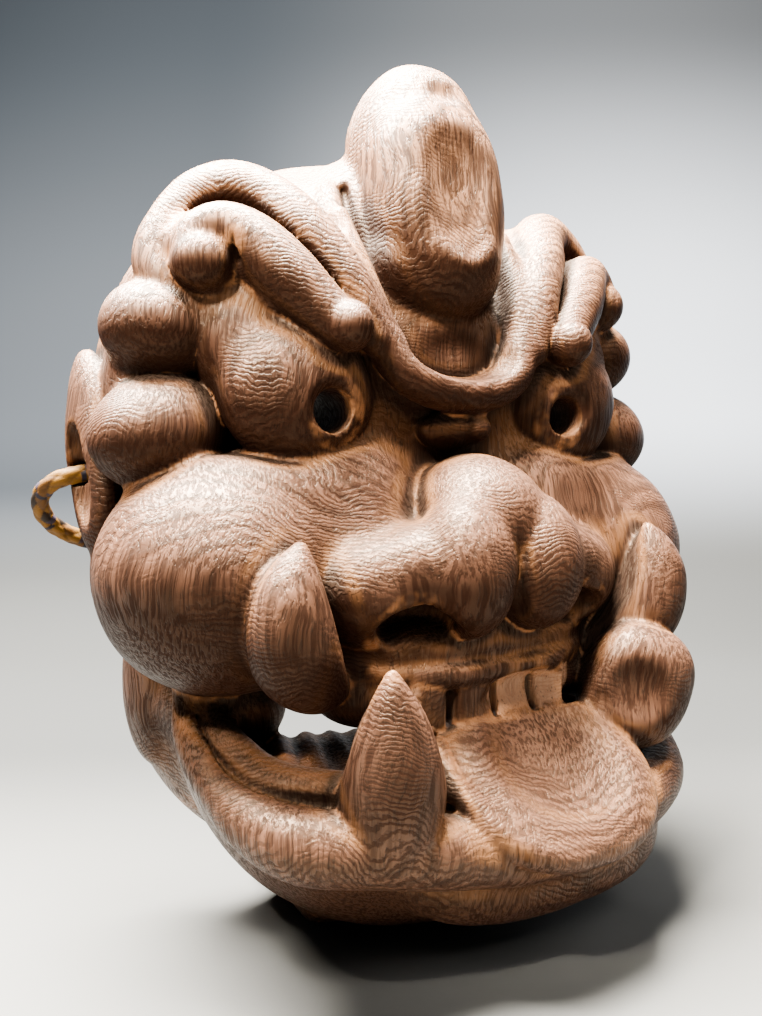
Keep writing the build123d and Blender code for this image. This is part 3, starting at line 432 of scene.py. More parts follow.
    # pocket inside each ear for the cord's knot
    pair(Egg((-49.0, 47.5, -29.0), (9.6, 8.8, 9.4)), 2, "cut")
    pair(Roll([(-49.0, 47, -27, 5.6), (-49.4, 45.6, -19, 5.8), (-52.5, 44.0, -13.8, 5.4)]), 2, "cut")

    # --- inner walls beside the mouth
    pair(Egg((-45.5, 34, -65), (14.5, 21, 13)), 3)

    # --- open the back, flatten the base
    F.put(Half((0, 52, 0), (0, -1, 0), (-90, 44, -125), (90, 60, 95)), 1.2, "cut")
    F.put(Half((0, 0, -118), (0, 0, 1), (-90, -60, -130), (90, 60, -112)), 1.2, "cut")

    # --- bores: eyes and cord holes
    for sx in (-1, 1):
        cut(Ball((sx * 31.4, -7.4, -1.2), 8.9), 0.6)
        cut(Rod((sx * 31.5, -14, -1.2), (sx * 31.5, 34, -1.2), 4.5, 4.5), 0.7)
        cut(Rod((sx * 44.0, 43.5, -13), (sx * 90.0, 43.5, -13), 2.7, 2.7), 0.6)
    return F


# ------------------------------------------------------------------ mesh
def surface(field):
    """Surface nets: one vertex per crossed cell, one quad per crossed edge."""
    d = field.d
    nx, ny, nz = d.shape
    s = d < 0
    c = np.zeros((nx - 1, ny - 1, nz - 1), np.uint8)
    for i in (0, 1):
        for j in (0, 1):
            for k in (0, 1):
                c += s[i:nx - 1 + i, j:ny - 1 + j, k:nz - 1 + k]
    act = (c > 0) & (c < 8)
    I, J, K = np.nonzero(act)
    idx = np.full(act.shape, -1, np.int32)
    idx[I, J, K] = np.arange(len(I), dtype=np.int32)
    acc = np.zeros((len(I), 3), np.float64)
    cnt = np.zeros(len(I), np.float64)
    corners = [(0, 0, 0), (1, 0, 0), (0, 1, 0), (1, 1, 0), (0, 0, 1), (1, 0, 1), (0, 1, 1), (1, 1, 1)]
    edges = [(a, b) for a in range(8) for b in range(a + 1, 8)
             if sum(abs(corners[a][m] - corners[b][m]) for m in range(3)) == 1]
    vals = [d[I + q[0], J + q[1], K + q[2]].astype(np.float64) for q in corners]
    for a, b in edges:
        va, vb = vals[a], vals[b]
        x = (va < 0) != (vb < 0)
        t = np.where(x, va / np.where(x, va - vb, 1.0), 0.0)
        pa, pb = np.array(corners[a], float), np.array(corners[b], float)
        acc += np.where(x[:, None], pa + t[:, None] * (pb - pa), 0.0)
        cnt += x
    P = acc / cnt[:, None] + np.stack([I, J, K], 1)
    V = field.lo + P * field.vox
    quads = []
    for axis in range(3):
        sl0 = [slice(None)] * 3
        sl1 = [slice(None)] * 3
        sl0[axis] = slice(0, -1)
        sl1[axis] = slice(1, None)
        a, b = s[tuple(sl0)], s[tuple(sl1)]
        cross = a != b
        E = np.array(np.nonzero(cross)).T
        o1, o2 = (axis + 1) % 3, (axis + 2) % 3
        ok = (E[:, o1] > 0) & (E[:, o2] > 0) & (E[:, o1] < d.shape[o1] - 1) & (E[:, o2] < d.shape[o2] - 1)
        E = E[ok]
        inside = a[E[:, 0], E[:, 1], E[:, 2]]
        q = []
        for (u, v) in ((0, 0), (-1, 0), (-1, -1), (0, -1)):
            e = E.copy()
            e[:, o1] += u
            e[:, o2] += v
            q.append(idx[e[:, 0], e[:, 1], e[:, 2]])
        q = np.stack(q, 1)
        q[~inside] = q[~inside][:, ::-1]
        quads.append(q)
    return V, np.vstack(quads)


def biggest(V, T):
    """Keep the largest connected piece."""
    lab = np.arange(len(V))
    while True:
        m = lab[T].min(1)
        new = lab.copy()
        for k in range(3):
            np.minimum.at(new, T[:, k], m)
        new = new[new]
        if (new == lab).all():
            break
        lab = new
    keep = np.bincount(lab[T[:, 0]]).argmax()
    T = T[lab[T[:, 0]] == keep]
    used, inv = np.unique(T, return_inverse=True)
    return V[used], inv.reshape(T.shape)


# ------------------------------------------------------------------ sampling
def sample(field, P):
    """Trilinear field value at points (n, 3) in layout mm."""
    q = (P - field.lo) / field.vox
    q = np.clip(q, 0, np.array(field.n) - 1.001)
    i = q.astype(int)
    f = (q - i).astype(np.float32)
    d = field.d
    out = 0.0
    for a in (0, 1):
        wa = f[:, 0] if a else 1 - f[:, 0]
        for b in (0, 1):
            wb = f[:, 1] if b else 1 - f[:, 1]
            for c in (0, 1):
                wc = f[:, 2] if c else 1 - f[:, 2]
                out = out + wa * wb * wc * d[i[:, 0] + a, i[:, 1] + b, i[:, 2] + c]
    return out


def slope(field, P, e):
    g = np.stack([sample(field, P + e * np.eye(3)[i]) - sample(field, P - e * np.eye(3)[i]) for i in range(3)], 1)
    return g / np.maximum(np.linalg.norm(g, axis=1, keepdims=True), 1e-6)


def waves(P, seed, size):
    """Smooth pseudo-noise, about -1 to 1, from a few fixed sine waves."""
    rng = np.random.RandomState(seed)
    out = np.zeros(len(P))
    for k in range(7):
        v = rng.normal(size=3)
        v *= (2 * math.pi / size) * rng.uniform(0.6, 1.5) / np.linalg.norm(v)
        out += np.sin(P @ v + rng.uniform(0, 6.28))
    return out / 3.0


def gouges(P):
    """Shallow scallops left by a gouge inside the hollow, mm deep."""
    row = np.floor(P[:, 2] / 15.0 + 0.25 * np.sin(P[:, 0] / 17.0))
    u = P[:, 0] / 7.5 + 0.37 * row + 0.18 * np.sin(P[:, 2] / 9.0 + row)
    fu = u - np.floor(u) - 0.5
    v = P[:, 2] / 15.0 + 0.25 * np.sin(P[:, 0] / 17.0)
    fv = v - np.floor(v) - 0.5
    return 0.75 * (fu * fu * 4) + 0.45 * (fv * fv * 4)


# ------------------------------------------------------------------ pieces
def mesh_object(name, V, faces, material):
    me = bpy.data.meshes.new(name)
    me.vertices.add(len(V))
    me.vertices.foreach_set("co", np.ascontiguousarray(V, dtype=np.float32).ravel())
    faces = np.ascontiguousarray(faces, dtype=np.int32)
    k = faces.shape[1]
    me.loops.add(faces.size)
    me.loops.foreach_set("vertex_index", faces.ravel())
    me.polygons.add(len(faces))
    me.polygons.foreach_set("loop_start", np.arange(0, faces.size, k, dtype=np.int32))
    me.polygons.foreach_set("loop_total", np.full(len(faces), k, dtype=np.int32))
    me.polygons.foreach_set("use_smooth", np.ones(len(faces), dtype=bool))
    me.update(calc_edges=True)
    me.validate()
    me.materials.append(material)
    ob = bpy.data.objects.new(name, me)
    bpy.context.scene.collection.objects.link(ob)
    return ob


def point_values(ob, name, values):
    a = ob.data.attributes.new(name, "FLOAT", "POINT")
    a.data.foreach_set("value", np.ascontiguousarray(values, dtype=np.float32))


def point_colours(ob, name, rgb):
    a = ob.data.color_attributes.new(name, "FLOAT_COLOR", "POINT")
    c = np.ones((len(rgb), 4), np.float32)
    c[:, :3] = rgb
    a.data.foreach_set("color", c.ravel())


# ------------------------------------------------------------------ nodes
class Tree:
    """Short hand for building a node material."""

    def __init__(self, name):
        self.mat = bpy.data.materials.new(name)
        self.mat.use_nodes = True
        self.t = self.mat.node_tree
        self.t.nodes.clear()

    def add(self, kind, **props):
        n = self.t.nodes.new(kind)
        for k, v in props.items():
            setattr(n, k, v)
        return n

    def put(self, socket, value):
        if isinstance(value, bpy.types.NodeSocket):
            self.t.links.new(value, socket)
        elif value is not None:
            socket.default_value = value

    def m(self, op, a, b=None, c=None, clamp=False):
        n = self.add("ShaderNodeMath", operation=op, use_clamp=clamp)
        self.put(n.inputs[0], a)
        self.put(n.inputs[1], b)
        self.put(n.inputs[2], c)
        return n.outputs[0]

    def v(self, op, a, b=None, s=None):
        n = self.add("ShaderNodeVectorMath", operation=op)
        self.put(n.inputs[0], a)
        self.put(n.inputs[1], b)
        if s is not None:
            self.put(n.inputs["Scale"], s)
        return n.outputs["Value"] if op in ("LENGTH", "DOT_PRODUCT", "DISTANCE") else n.outputs["Vector"]

    def noise(self, vec, scale, detail=2.0, rough=0.5, colour=False, dist=0.0):
        n = self.add("ShaderNodeTexNoise")
        self.put(n.inputs["Vector"], vec)
        n.inputs["Scale"].default_value = scale
        n.inputs["Detail"].default_value = detail
        n.inputs["Roughness"].default_value = rough
        n.inputs["Distortion"].default_value = dist
        return n.outputs["Color"] if colour else n.outputs["Fac"]

    def attr(self, name, out="Fac"):
        n = self.add("ShaderNodeAttribute", attribute_name=name)
        return n.outputs[out]

    def ramp(self, fac, *stops):
        n = self.add("ShaderNodeValToRGB")
        self.put(n.inputs[0], fac)
        e = n.color_ramp.elements
        while len(e) < len(stops):
            e.new(0.5)
        for q, (pos, col) in zip(e, stops):
            q.position = pos
            q.color = (*col, 1) if not isinstance(col, (int, float)) else (col, col, col, 1)
        return n.outputs[0]

    def span(self, x, lo, hi, out0=0.0, out1=1.0):
        n = self.add("ShaderNodeMapRange", interpolation_type="SMOOTHSTEP")
        self.put(n.inputs[0], x)
        for i, val in enumerate((lo, hi, out0, out1)):
            n.inputs[1 + i].default_value = val
        return n.outputs[0]

    def mix(self, fac, a, b, kind="MIX"):
        n = self.add("ShaderNodeMix", data_type="RGBA", blend_type=kind)
        self.put(n.inputs[0], fac)
        for s, val in ((n.inputs[6], a), (n.inputs[7], b)):
            if isinstance(val, tuple):
                val = (*val, 1)
            self.put(s, val)
        return n.outputs[2]

    def bump(self, height, strength, distance, normal=None):
        n = self.add("ShaderNodeBump")
        n.inputs["Strength"].default_value = strength
        n.inputs["Distance"].default_value = distance
        self.put(n.inputs["Height"], height)
        if normal is not None:
            self.put(n.inputs["Normal"], normal)
        return n.outputs[0]

    def shader(self, **inputs):
        b = self.add("ShaderNodeBsdfPrincipled")
        for k, val in inputs.items():
            self.put(b.inputs[k.replace("_", " ")], val)
        o = self.add("ShaderNodeOutputMaterial")
        self.t.links.new(b.outputs[0], o.inputs[0])
        return b


def wood():
    """Waxed, ring-porous figured wood with a dark patina and painted shade in its hollows, painted shade on its
    undersides and painted light on its teeth.
    """
    T = Tree("waxed_keyaki")
    P = T.v("SCALE", T.add("ShaderNodeTexCoord").outputs["Object"], s=1000.0)
    hollow, worn, painted_underside_shade = T.attr("hollow"), T.attr("worn"), T.attr("painted_underside_shade")
    # slow wander of the grain, then a quicker one
    w1 = T.v("SCALE", T.v("SUBTRACT", T.noise(P, 0.018, 2, 0.5, True), (0.5, 0.5, 0.5)), s=24.0)
    w2 = T.v("SCALE", T.v("SUBTRACT", T.noise(P, 0.085, 2, 0.5, True), (0.5, 0.5, 0.5)), s=2.6)
    Q = T.v("ADD", P, T.v("ADD", w1, w2))
    z = T.add("ShaderNodeSeparateXYZ")
    T.put(z.inputs[0], P)
    high = T.span(z.outputs[2], 132.0, 168.0)
    # growth rings round a pith behind the face, leaning a little
    flat = T.v("MULTIPLY", T.v("SUBTRACT", Q, (14.0, 150.0, 0.0)), (1.0, 1.0, 0.10))
    r = T.v("LENGTH", flat)
    ring = T.m("FRACT", T.m("MULTIPLY", r, 1 / 2.1))
    early = T.m("MULTIPLY", T.span(ring, 0.0, 0.22), T.span(ring, 0.98, 0.40))
    line = T.span(ring, 0.88, 1.0)
    show = T.m("MULTIPLY_ADD", T.m("MAXIMUM", T.span(T.noise(P, 0.028, 2), 0.42, 0.62), high), 0.75, 0.40)
    # ripple across the grain
    wob = T.m("MULTIPLY", T.m("SUBTRACT", T.noise(P, 0.055, 1, 0.5), 0.5), 15.0)
    jit = T.m("MULTIPLY", T.m("SUBTRACT", T.noise(P, 0.45, 2, 0.6), 0.5), 2.2)
    across = T.m("ADD", T.v("DOT_PRODUCT", Q, (0.22, 0.30, 0.86)), T.m("ADD", wob, jit))
    ripple = T.m("SINE", T.m("MULTIPLY", across, 2 * math.pi / 1.12))
    patch = T.span(T.noise(P, 0.040, 2), 0.43, 0.62)
    ripple = T.m("MULTIPLY", T.span(ripple, -0.5, 0.8), patch)
    # fibre and pores run up the block
    fibre = T.span(T.noise(T.v("MULTIPLY", Q, (1.0, 1.0, 0.050)), 1.35, 2, 0.55), 0.42, 0.60)
    fine = T.noise(T.v("MULTIPLY", Q, (1.0, 1.0, 0.08)), 3.6, 2, 0.6)
    streak = T.m("MULTIPLY", fibre, T.m("SUBTRACT", 1.0, T.m("MULTIPLY", patch, 0.5)))
    pores = T.span(T.noise(T.v("MULTIPLY", Q, (1.0, 1.0, 0.12)), 2.1, 1, 0.5), 0.62, 0.70)
    mott = T.noise(P, 0.05, 3, 0.6)

    grain = T.m("MULTIPLY_ADD", T.m("SUBTRACT", early, 0.5), show, 0.5)
    col = T.mix(grain, (0.040, 0.0175, 0.0100), (0.130, 0.0580, 0.0330))
    col = T.mix(T.span(mott, 0.30, 0.72, 0.0, 0.40), col, (0.095, 0.0400, 0.0205))
    col = T.mix(T.m("MULTIPLY", T.m("MULTIPLY", line, show), 0.45), col, (0.020, 0.0095, 0.0060))
    tan = T.mix(grain, (0.115, 0.052, 0.025), (0.34, 0.158, 0.079))
    col = T.mix(T.m("MULTIPLY", high, 0.80), col, tan)
    col = T.mix(T.m("MULTIPLY", fine, 0.30), col, (0.038, 0.0168, 0.0096))
    col = T.mix(T.m("MULTIPLY", streak, 0.78), col, (0.014, 0.0064, 0.0040))
    col = T.mix(T.m("MULTIPLY", ripple, 0.60), col, (0.014, 0.0064, 0.0040))
    # patina: orange where the wax has gathered, then dark patina with painted shade in the depths
    edge = T.m("MULTIPLY", T.span(hollow, 0.10, 0.30), T.span(hollow, 0.72, 0.42))
    col = T.mix(T.m("MULTIPLY", edge, T.span(mott, 0.34, 0.62, 0.05, 0.45)), col, (0.24, 0.098, 0.032))
    col = T.mix(T.span(hollow, 0.30, 0.85, 0.0, 0.93), col, (0.0065, 0.0030, 0.0020))
    # painted shade: surfaces that face down are darkened
    col = T.mix(T.m("MULTIPLY", painted_underside_shade, 0.93), col, (0.0090, 0.0031, 0.0016))
    # painted light: the teeth painted lighter
    col = T.mix(T.m("MULTIPLY", T.attr("tooth_painted_light"), 0.60), col, (0.25, 0.125, 0.070))
    rub = T.m("MULTIPLY", T.span(worn, 0.34, 0.85), T.span(T.noise(P, 0.16, 2), 0.40, 0.66))
    col = T.mix(T.m("MULTIPLY", rub, 0.45), col, (0.30, 0.125, 0.048))
    col = T.mix(T.m("MULTIPLY", pores, 0.62), col, (0.0090, 0.0045, 0.0030))

    rough = T.m("ADD", T.m("MULTIPLY_ADD", hollow, 0.24, 0.38), T.m("MULTIPLY", T.m("SUBTRACT", mott, 0.5), 0.20))
    rough = T.m("ADD", rough, T.m("MULTIPLY", streak, 0.12))
    shine = T.m("MULTIPLY_ADD", T.m("MAXIMUM", streak, ripple), -0.32, 0.46)
    shine = T.m("MULTIPLY", shine, T.m("MULTIPLY_ADD", painted_underside_shade, -0.85, 1.0))
    h = T.m("ADD", T.m("MULTIPLY", T.m("MULTIPLY", early, show), -0.25), T.m("MULTIPLY", ripple, -0.60))
    h = T.m("ADD", h, T.m("MULTIPLY", pores, -0.50))
    h = T.m("ADD", h, T.m("MULTIPLY", streak, -0.50))
    h = T.m("ADD", h, T.m("MULTIPLY", fine, 0.18))
    n = T.bump(h, 0.55, 0.00034)
    T.shader(Base_Color=col, Roughness=rough, Normal=n, Specular_IOR_Level=shine,
             Specular_Tint=(1.0, 0.70, 0.45, 1.0), Coat_Weight=0.01, Coat_Roughness=0.30, Coat_IOR=1.5)
    return T.mat


def braid_material():
    T = Tree("braided_silk")
    P = T.v("SCALE", T.add("ShaderNodeTexCoord").outputs["Object"], s=1000.0)
    col = T.attr("strand", "Color")
    fuzz = T.noise(P, 3.4, 3, 0.6)
    col = T.mix(T.m("MULTIPLY", fuzz, 0.35), col, (0.030, 0.016, 0.005))
    n = T.bump(fuzz, 0.45, 0.00016)
    T.shader(Base_Color=col, Roughness=0.62, Normal=n, Specular_IOR_Level=0.08)
    return T.mat


# ------------------------------------------------------------------ carved mask
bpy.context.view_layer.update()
F = sculpt(0.85)
V, Q = surface(F)
V, Q = biggest(V, Q)
N = slope(F, V, F.vox)
soft = waves(V, 5, 26.0) * 0.16 + waves(V, 9, 11.0) * 0.07
back = np.clip((N[:, 1] - 0.15) / 0.35, 0, 1) * (V[:, 1] < 50.8)
V2 = V + N * soft[:, None] * (np.abs(V[:, 1] - 52) > 1.0)[:, None] * (V[:, 2] > -117.0)[:, None]
V2 = V2 - N * (back * gouges(V))[:, None] * 0.9
a3 = np.clip(sample(F, V + N * 3.0) / 3.0, 0, 1)
a7 = np.clip(sample(F, V + N * 7.0) / 7.0, 0, 1)
a12 = np.clip(sample(F, V + N * 12.0) / 12.0, 0, 1)
# how hollow each point is: it sets the orange patina, and the dark patina with painted shade in the depths
hollow = np.clip(1.15 - (0.40 * a3 + 0.42 * a7 + 0.33 * a12), 0, 1)
worn = np.clip((1.0 + sample(F, V - N * 3.0) / 3.0) * 1.6, 0, 1)
# painted shade on surfaces that face down
painted_underside_shade = np.clip((0.62 - N[:, 2]) / 0.82, 0, 1)
teeth = (np.abs(V[:, 0]) < 22) & (V[:, 1] < -3.5) & (V[:, 2] < -57.8) & (V[:, 2] > -67.6) & (V[:, 1] > -11.5)
gap = np.min(np.abs(V[:, 0:1] - np.array([[-21.9, -11.4, -0.1, 10.7, 20.3]])), axis=1)
# painted shade in the gaps between the teeth, and little hollow darkening on the teeth themselves
hollow = np.where(teeth, np.where(gap < 0.75, 0.97, hollow * 0.25), hollow)
# less painted underside shade on the teeth and towards the bottom of the jaw
painted_underside_shade = np.where(teeth, painted_underside_shade * 0.20, painted_underside_shade)
painted_underside_shade = painted_underside_shade * (1 - 0.50 * np.clip((-70.0 - V[:, 2]) / 12.0, 0, 1))
# painted light on the teeth, fading out at the gaps between them
tooth_painted_light = np.where(teeth, np.clip((gap - 0.6) / 0.8, 0, 1), 0.0)
M = V2 + np.array([OX, OY, OZ])
M[:, 2] = np.maximum(M[:, 2], 0.0)
mask = mesh_object("mask_carving", M / 1000.0, Q, wood())
point_values(mask, "hollow", hollow)
point_values(mask, "worn", worn)
point_values(mask, "painted_underside_shade", painted_underside_shade)
point_values(mask, "tooth_painted_light", tooth_painted_light)
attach(mask, "root")
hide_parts("carved_mask")
print("carving", len(V), "points", len(Q), "faces")


# ------------------------------------------------------------------ cord
def mm(p):
    return ((p[0] + OX) / 1000.0, (p[1] + OY) / 1000.0, (p[2] + OZ) / 1000.0)


def nurbs_line(name, route):
    """Points along the smooth NURBS line of a route, in metres."""
    cu = bpy.data.curves.new(name, "CURVE")
    cu.dimensions = "3D"
    cu.resolution_u = 14
    sp = cu.splines.new("NURBS")
    sp.points.add(len(route) - 1)
    for q, p in zip(sp.points, route):
        q.co = (*p, 1.0)
    sp.order_u = 3
    sp.use_endpoint_u = True
    ob = bpy.data.objects.new(name, cu)
    bpy.context.scene.collection.objects.link(ob)
    bpy.context.view_layer.update()
    me = bpy.data.meshes.new_from_object(ob.evaluated_get(bpy.context.evaluated_depsgraph_get()))
    pts = np.array([v.co[:] for v in me.vertices])
    bpy.data.meshes.remove(me)
    bpy.data.objects.remove(ob)
    bpy.data.curves.remove(cu)
    return pts


def resample(pts, step):
    s = np.concatenate([[0], np.cumsum(np.linalg.norm(np.diff(pts, axis=0), axis=1))])
    n = max(8, int(round(s[-1] / step)))
    t = np.linspace(0, s[-1], n + 1)
    return np.stack([np.interp(t, s, pts[:, i]) for i in range(3)], 1), t


GOLD, OCHRE, DARK = (0.110, 0.047, 0.0030), (0.058, 0.022, 0.0022), (0.0050, 0.0032, 0.0028)
VIOLET, NAVY = (0.017, 0.013, 0.026), (0.0030, 0.0050, 0.0130)


def braid(name, pts, radius, lead=0.0, taper=(True, True), close=False):
    """A round braid of eight strands: the strands cross over and under each other."""
    P, s = resample(pts, 0.00020)
    n = len(P)
    tan = np.gradient(P, axis=0)
    tan /= np.linalg.norm(tan, axis=1, keepdims=True)
    u = np.cross(tan[0], (0.0, 0.3, 1.0))
    u /= np.linalg.norm(u)
    U = np.zeros_like(P)
    for i in range(n):
        u = u - tan[i] * (u @ tan[i])
        u /= np.linalg.norm(u)
        U[i] = u
    W = np.cross(tan, U)
    K = 40
    th = np.linspace(0, 2 * math.pi, K, endpoint=False)
    ss, tt = np.meshgrid((s + lead) * 1000.0, th, indexing="ij")
    turns, pitch = 4.0, 5.2                    # strands each way, mm per crossing set
    a = turns * tt / (2 * math.pi) + ss / pitch
    b = turns * tt / (2 * math.pi) - ss / pitch
    fa, fb = a - np.floor(a) - 0.5, b - np.floor(b) - 0.5
    over = ((np.floor(a) + np.floor(b)) % 2) == 0
    prof = np.where(over, np.cos(math.pi * fa), np.cos(math.pi * fb))
    lift = np.where(over, np.cos(math.pi * fb), np.cos(math.pi * fa))
    rr = radius * (0.80 + 0.13 * np.sqrt(np.clip(prof, 0, 1)) + 0.10 * lift)
    end = np.ones(n)
    d0, d1 = s / radius, (s[-1] - s) / radius
    if taper[0]:
        end = np.minimum(end, np.sqrt(np.clip(1 - (1 - np.clip(d0, 0, 1)) ** 2, 0, 1)))
    if taper[1]:
        end = np.minimum(end, np.sqrt(np.clip(1 - (1 - np.clip(d1, 0, 1)) ** 2, 0, 1)))
    rr = rr * np.maximum(end, 0.02)[:, None]
    V = P[:, None, :] + rr[..., None] * (np.cos(tt)[..., None] * U[:, None, :] + np.sin(tt)[..., None] * W[:, None, :])
    idx = np.arange(n * K).reshape(n, K)
    q = np.stack([idx[:-1], np.roll(idx, -1, 1)[:-1], np.roll(idx, -1, 1)[1:], idx[1:]], -1).reshape(-1, 4)
    V = V.reshape(-1, 3)
    # closed ends
    c0, c1 = len(V), len(V) + 1
    V = np.vstack([V, P[0], P[-1]])
    tri0 = np.stack([np.full(K, c0), np.roll(idx[0], -1), idx[0], np.full(K, c0)], 1)
    tri1 = np.stack([np.full(K, c1), idx[-1], np.roll(idx[-1], -1), np.full(K, c1)], 1)
    ob = tube_object(name, V, q, np.vstack([tri0[:, :3], tri1[:, :3]]))
    # colours by strand, with coloured bands along the cord
    which = np.where(over, np.floor(a), np.floor(b) + 1).astype(int)
    colour = np.zeros((n, K, 3))
    colour[:] = GOLD
    colour[(which % 4) == 1] = OCHRE
    colour[((which % 4) == 2) & over] = DARK
    band = (ss / 10.5) % 1.0
    vb = (band > 0.06) & (band < 0.20) & ((which % 2) == 0)
    nb = (band > 0.20) & (band < 0.30) & ((which % 2) == 1)
    colour[vb] = VIOLET
    colour[nb] = NAVY
    # painted shade: each strand darker towards its edges, where it dips under its neighbours
    colour *= (0.55 + 0.45 * np.clip(prof, 0, 1))[..., None]
    colour = np.vstack([colour.reshape(-1, 3), [DARK, DARK]])
    point_colours(ob, "strand", colour)
    return ob, P


def tube_object(name, V, quads, tris):
    me = bpy.data.meshes.new(name)
    me.from_pydata(V.tolist(), [], quads.tolist() + tris.tolist())
    me.polygons.foreach_set("use_smooth", np.ones(len(me.polygons), dtype=bool))
    me.update()
    me.materials.append(BRAID)
    ob = bpy.data.objects.new(name, me)
    bpy.context.scene.collection.objects.link(ob)
    return ob


BRAID = braid_material()
LOOP = [(-49.5, 46.0, -24.8), (-49.9, 44.7, -18.4), (-53.6, 43.6, -14.0), (-60.2, 43.4, -12.9), (-67.0, 43.6, -12.8), (-73.0, 43.4, -13.2), (-78.4, 45.6, -15.0), (-80.2, 50.2, -18.8), (-77.8, 54.9, -23.6), (-72.4, 57.6, -27.4), (-65.6, 57.9, -29.8), (-59.0, 55.8, -30.8), (-54.4, 51.6, -30.6), (-51.6, 48.2, -29.8)]
SPAN = [(-46.0, 47.4, -32.0), (-38.0, 48.2, -38.4), (-26.0, 48.8, -43.6), (-10.0, 49.1, -46.2),
        (10.0, 49.1, -46.2), (26.0, 48.8, -43.6), (38.0, 48.2, -38.4), (46.0, 47.4, -32.0)]
KNOT = (-49.5, 46.5, -29.0)


def knot(name, sx):
    """A small overhand knot, pulled tight."""
    t = np.linspace(0.35, 2 * math.pi + 0.05, 160)
    q = np.stack([np.sin(t) + 2 * np.sin(2 * t), -np.sin(3 * t) * 1.25, np.cos(t) - 2 * np.cos(2 * t)], 1) * 1.02
    q[:, 0] *= sx
    pts = (q + np.array([sx * -KNOT[0] * -1, KNOT[1], KNOT[2]]) + np.array([OX, OY, OZ])) / 1000.0
    ob, _ = braid(name, pts, 0.00188, lead=0.003)
    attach(ob, "root")
    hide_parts(name)
    ob.name = name + "_tied"
    return ob


for side, sx in (("left", 1), ("right", -1)):
    route = [mm((sx * p[0], p[1], p[2])) for p in LOOP]
    line = nurbs_line(side + "_route", route)
    ob, P = braid(side + "_loop_braid", line, 0.0020, lead=0.004)
    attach(ob, "root")
    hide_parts(side + "_ear_loop")
    k = knot(side + "_knot", sx)
route = [mm(p) for p in SPAN]
line = nurbs_line("span_route", route)
ob, P = braid("span_braid", line, 0.0020, lead=0.001)
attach(ob, "root")
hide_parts("hanging_cord")


# ------------------------------------------------------------------ stage
def stage_material():
    T = Tree("paper")
    P = T.add("ShaderNodeTexCoord").outputs["Object"]
    s = T.add("ShaderNodeSeparateXYZ")
    T.put(s.inputs[0], P)
    up = s.outputs[2]
    across = T.v("DOT_PRODUCT", P, (0.854, -0.519, 0.0))
    along = T.v("DOT_PRODUCT", P, (0.5195, 0.8545, 0.0))
    # painted light: the floor lighter towards the camera, where the mask's shadow falls
    floor = T.mix(T.span(along, 0.14, -0.10), (0.0200, 0.0208, 0.0210), (0.100, 0.100, 0.096))
    col = T.mix(T.span(up, 0.03, 0.16), floor, (0.118, 0.130, 0.152))
    # painted shade: the backdrop darker towards its top
    col = T.mix(T.span(up, 0.26, 0.56), col, (0.0180, 0.0200, 0.0232))
    # painted shade: the backdrop darker to the left
    left = T.m("MULTIPLY", T.span(across, 0.36, -0.18), T.span(up, -0.02, 0.10))
    col = T.mix(T.m("MULTIPLY", left, 0.95), col, (0.0016, 0.0026, 0.0040))
    n = T.bump(T.noise(P, 260.0, 4, 0.6), 0.12, 0.0005)
    T.shader(Base_Color=col, Roughness=0.85, Normal=n, Specular_IOR_Level=0.06)
    return T.mat


yaw = math.radians(31.3)
fwd = np.array([math.sin(yaw), math.cos(yaw), 0.0])
side = np.array([math.cos(yaw), -math.sin(yaw), 0.0])
prof = [(-1.6, 0.0), (-0.8, 0.0), (0.0, 0.0), (0.30, 0.0)]
R0 = 0.42
for i in range(1, 25):
    a = math.pi / 2 * i / 24
    prof.append((0.30 + R0 * math.sin(a), R0 * (1 - math.cos(a))))
prof += [(0.72, 0.8), (0.72, 1.6)]
SV, SF = [], []
for i, (d, h) in enumerate(prof):
    for w in (-5.0, 5.0):
        p = fwd * d + side * w
        SV.append((p[0], p[1], h))
    if i:
        SF.append((2 * i - 2, 2 * i - 1, 2 * i + 1, 2 * i))
floor = mesh_object("paper_sweep", np.array(SV), np.array(SF), stage_material())

# ------------------------------------------------------------------ light, camera
right = np.array([0.85435, -0.51947, -0.01526])
down = np.array([-0.03320, -0.02524, -0.99913])
ahead = np.array([0.51863, 0.85412, -0.03881])
eye = (np.array([-118.9946, -161.3752, -14.1185]) + np.array([OX, OY, OZ])) / 1000.0


def aim(ob, target):
    d = mathutils.Vector(target) - ob.location
    ob.rotation_euler = d.to_track_quat("-Z", "Y").to_euler()


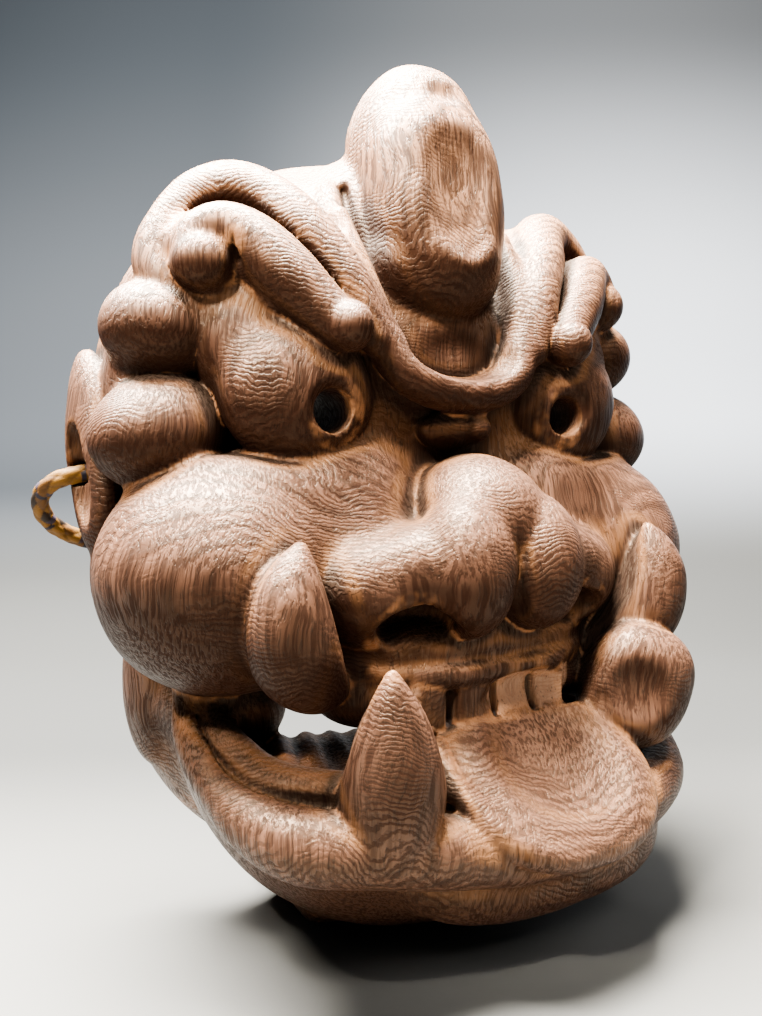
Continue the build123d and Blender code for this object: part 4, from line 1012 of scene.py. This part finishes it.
def lamp(name, left, up, near, dist, size, power, tint=(1, 1, 1), target=(0, 0.0, 0.10), face=None):
    L = bpy.data.lights.new(name, "AREA")
    L.shape = "RECTANGLE"
    L.size, L.size_y = size
    L.energy = power
    L.color = tint
    ob = bpy.data.objects.new(name, L)
    v = -right * left + np.array([0, 0, 1.0]) * up - ahead * near
    v = v / np.linalg.norm(v) * dist
    ob.location = (target[0] + v[0], target[1] + v[1], target[2] + v[2])
    bpy.context.scene.collection.objects.link(ob)
    aim(ob, target if face is None else face)
    return ob


behind = -right * 0.10 + ahead * 0.26
lamp("key", 0.32, 0.95, -0.13, 0.50, (0.46, 0.32), 300.0, (1.0, 0.94, 0.84), face=(behind[0], behind[1], 0.10))
lamp("rear", 0.10, 0.80, -0.60, 0.95, (0.6, 0.4), 12.0, (1.0, 0.98, 0.95))
lamp("front", -0.45, 0.80, 0.60, 0.95, (0.6, 0.4), 7.0, (1.0, 0.97, 0.93))
beam = bpy.data.lights.new("beam", "SPOT")
beam.energy = 150.0
beam.spot_size = math.radians(21)
beam.spot_blend = 1.0
beam.shadow_soft_size = 0.05
beam.color = (1.0, 0.92, 0.80)
bo = bpy.data.objects.new("beam", beam)
v = -right * 0.45 + np.array([0, 0, 1.0]) * 0.75 - ahead * 0.75
v = v / np.linalg.norm(v) * 0.60
bo.location = (v[0], v[1] - 0.01, v[2] + 0.168)
bpy.context.scene.collection.objects.link(bo)
aim(bo, (-0.006, -0.01, 0.160))
w = bpy.data.worlds.new("studio")
w.use_nodes = True
w.node_tree.nodes["Background"].inputs[0].default_value = (0.80, 0.88, 1.0, 1)
w.node_tree.nodes["Background"].inputs[1].default_value = 0.05
bpy.context.scene.world = w

cam = bpy.data.cameras.new("camera")
cam.sensor_width = 36.0
cam.lens = 900.0 / 1016.0 * 36.0
cam.clip_start = 0.01
co = bpy.data.objects.new("camera", cam)
m = mathutils.Matrix.Identity(4)
for i in range(3):
    m[i][0], m[i][1], m[i][2], m[i][3] = right[i], -down[i], -ahead[i], eye[i]
co.matrix_world = m
bpy.context.scene.collection.objects.link(co)
bpy.context.scene.camera = co

view = bpy.context.scene.view_settings
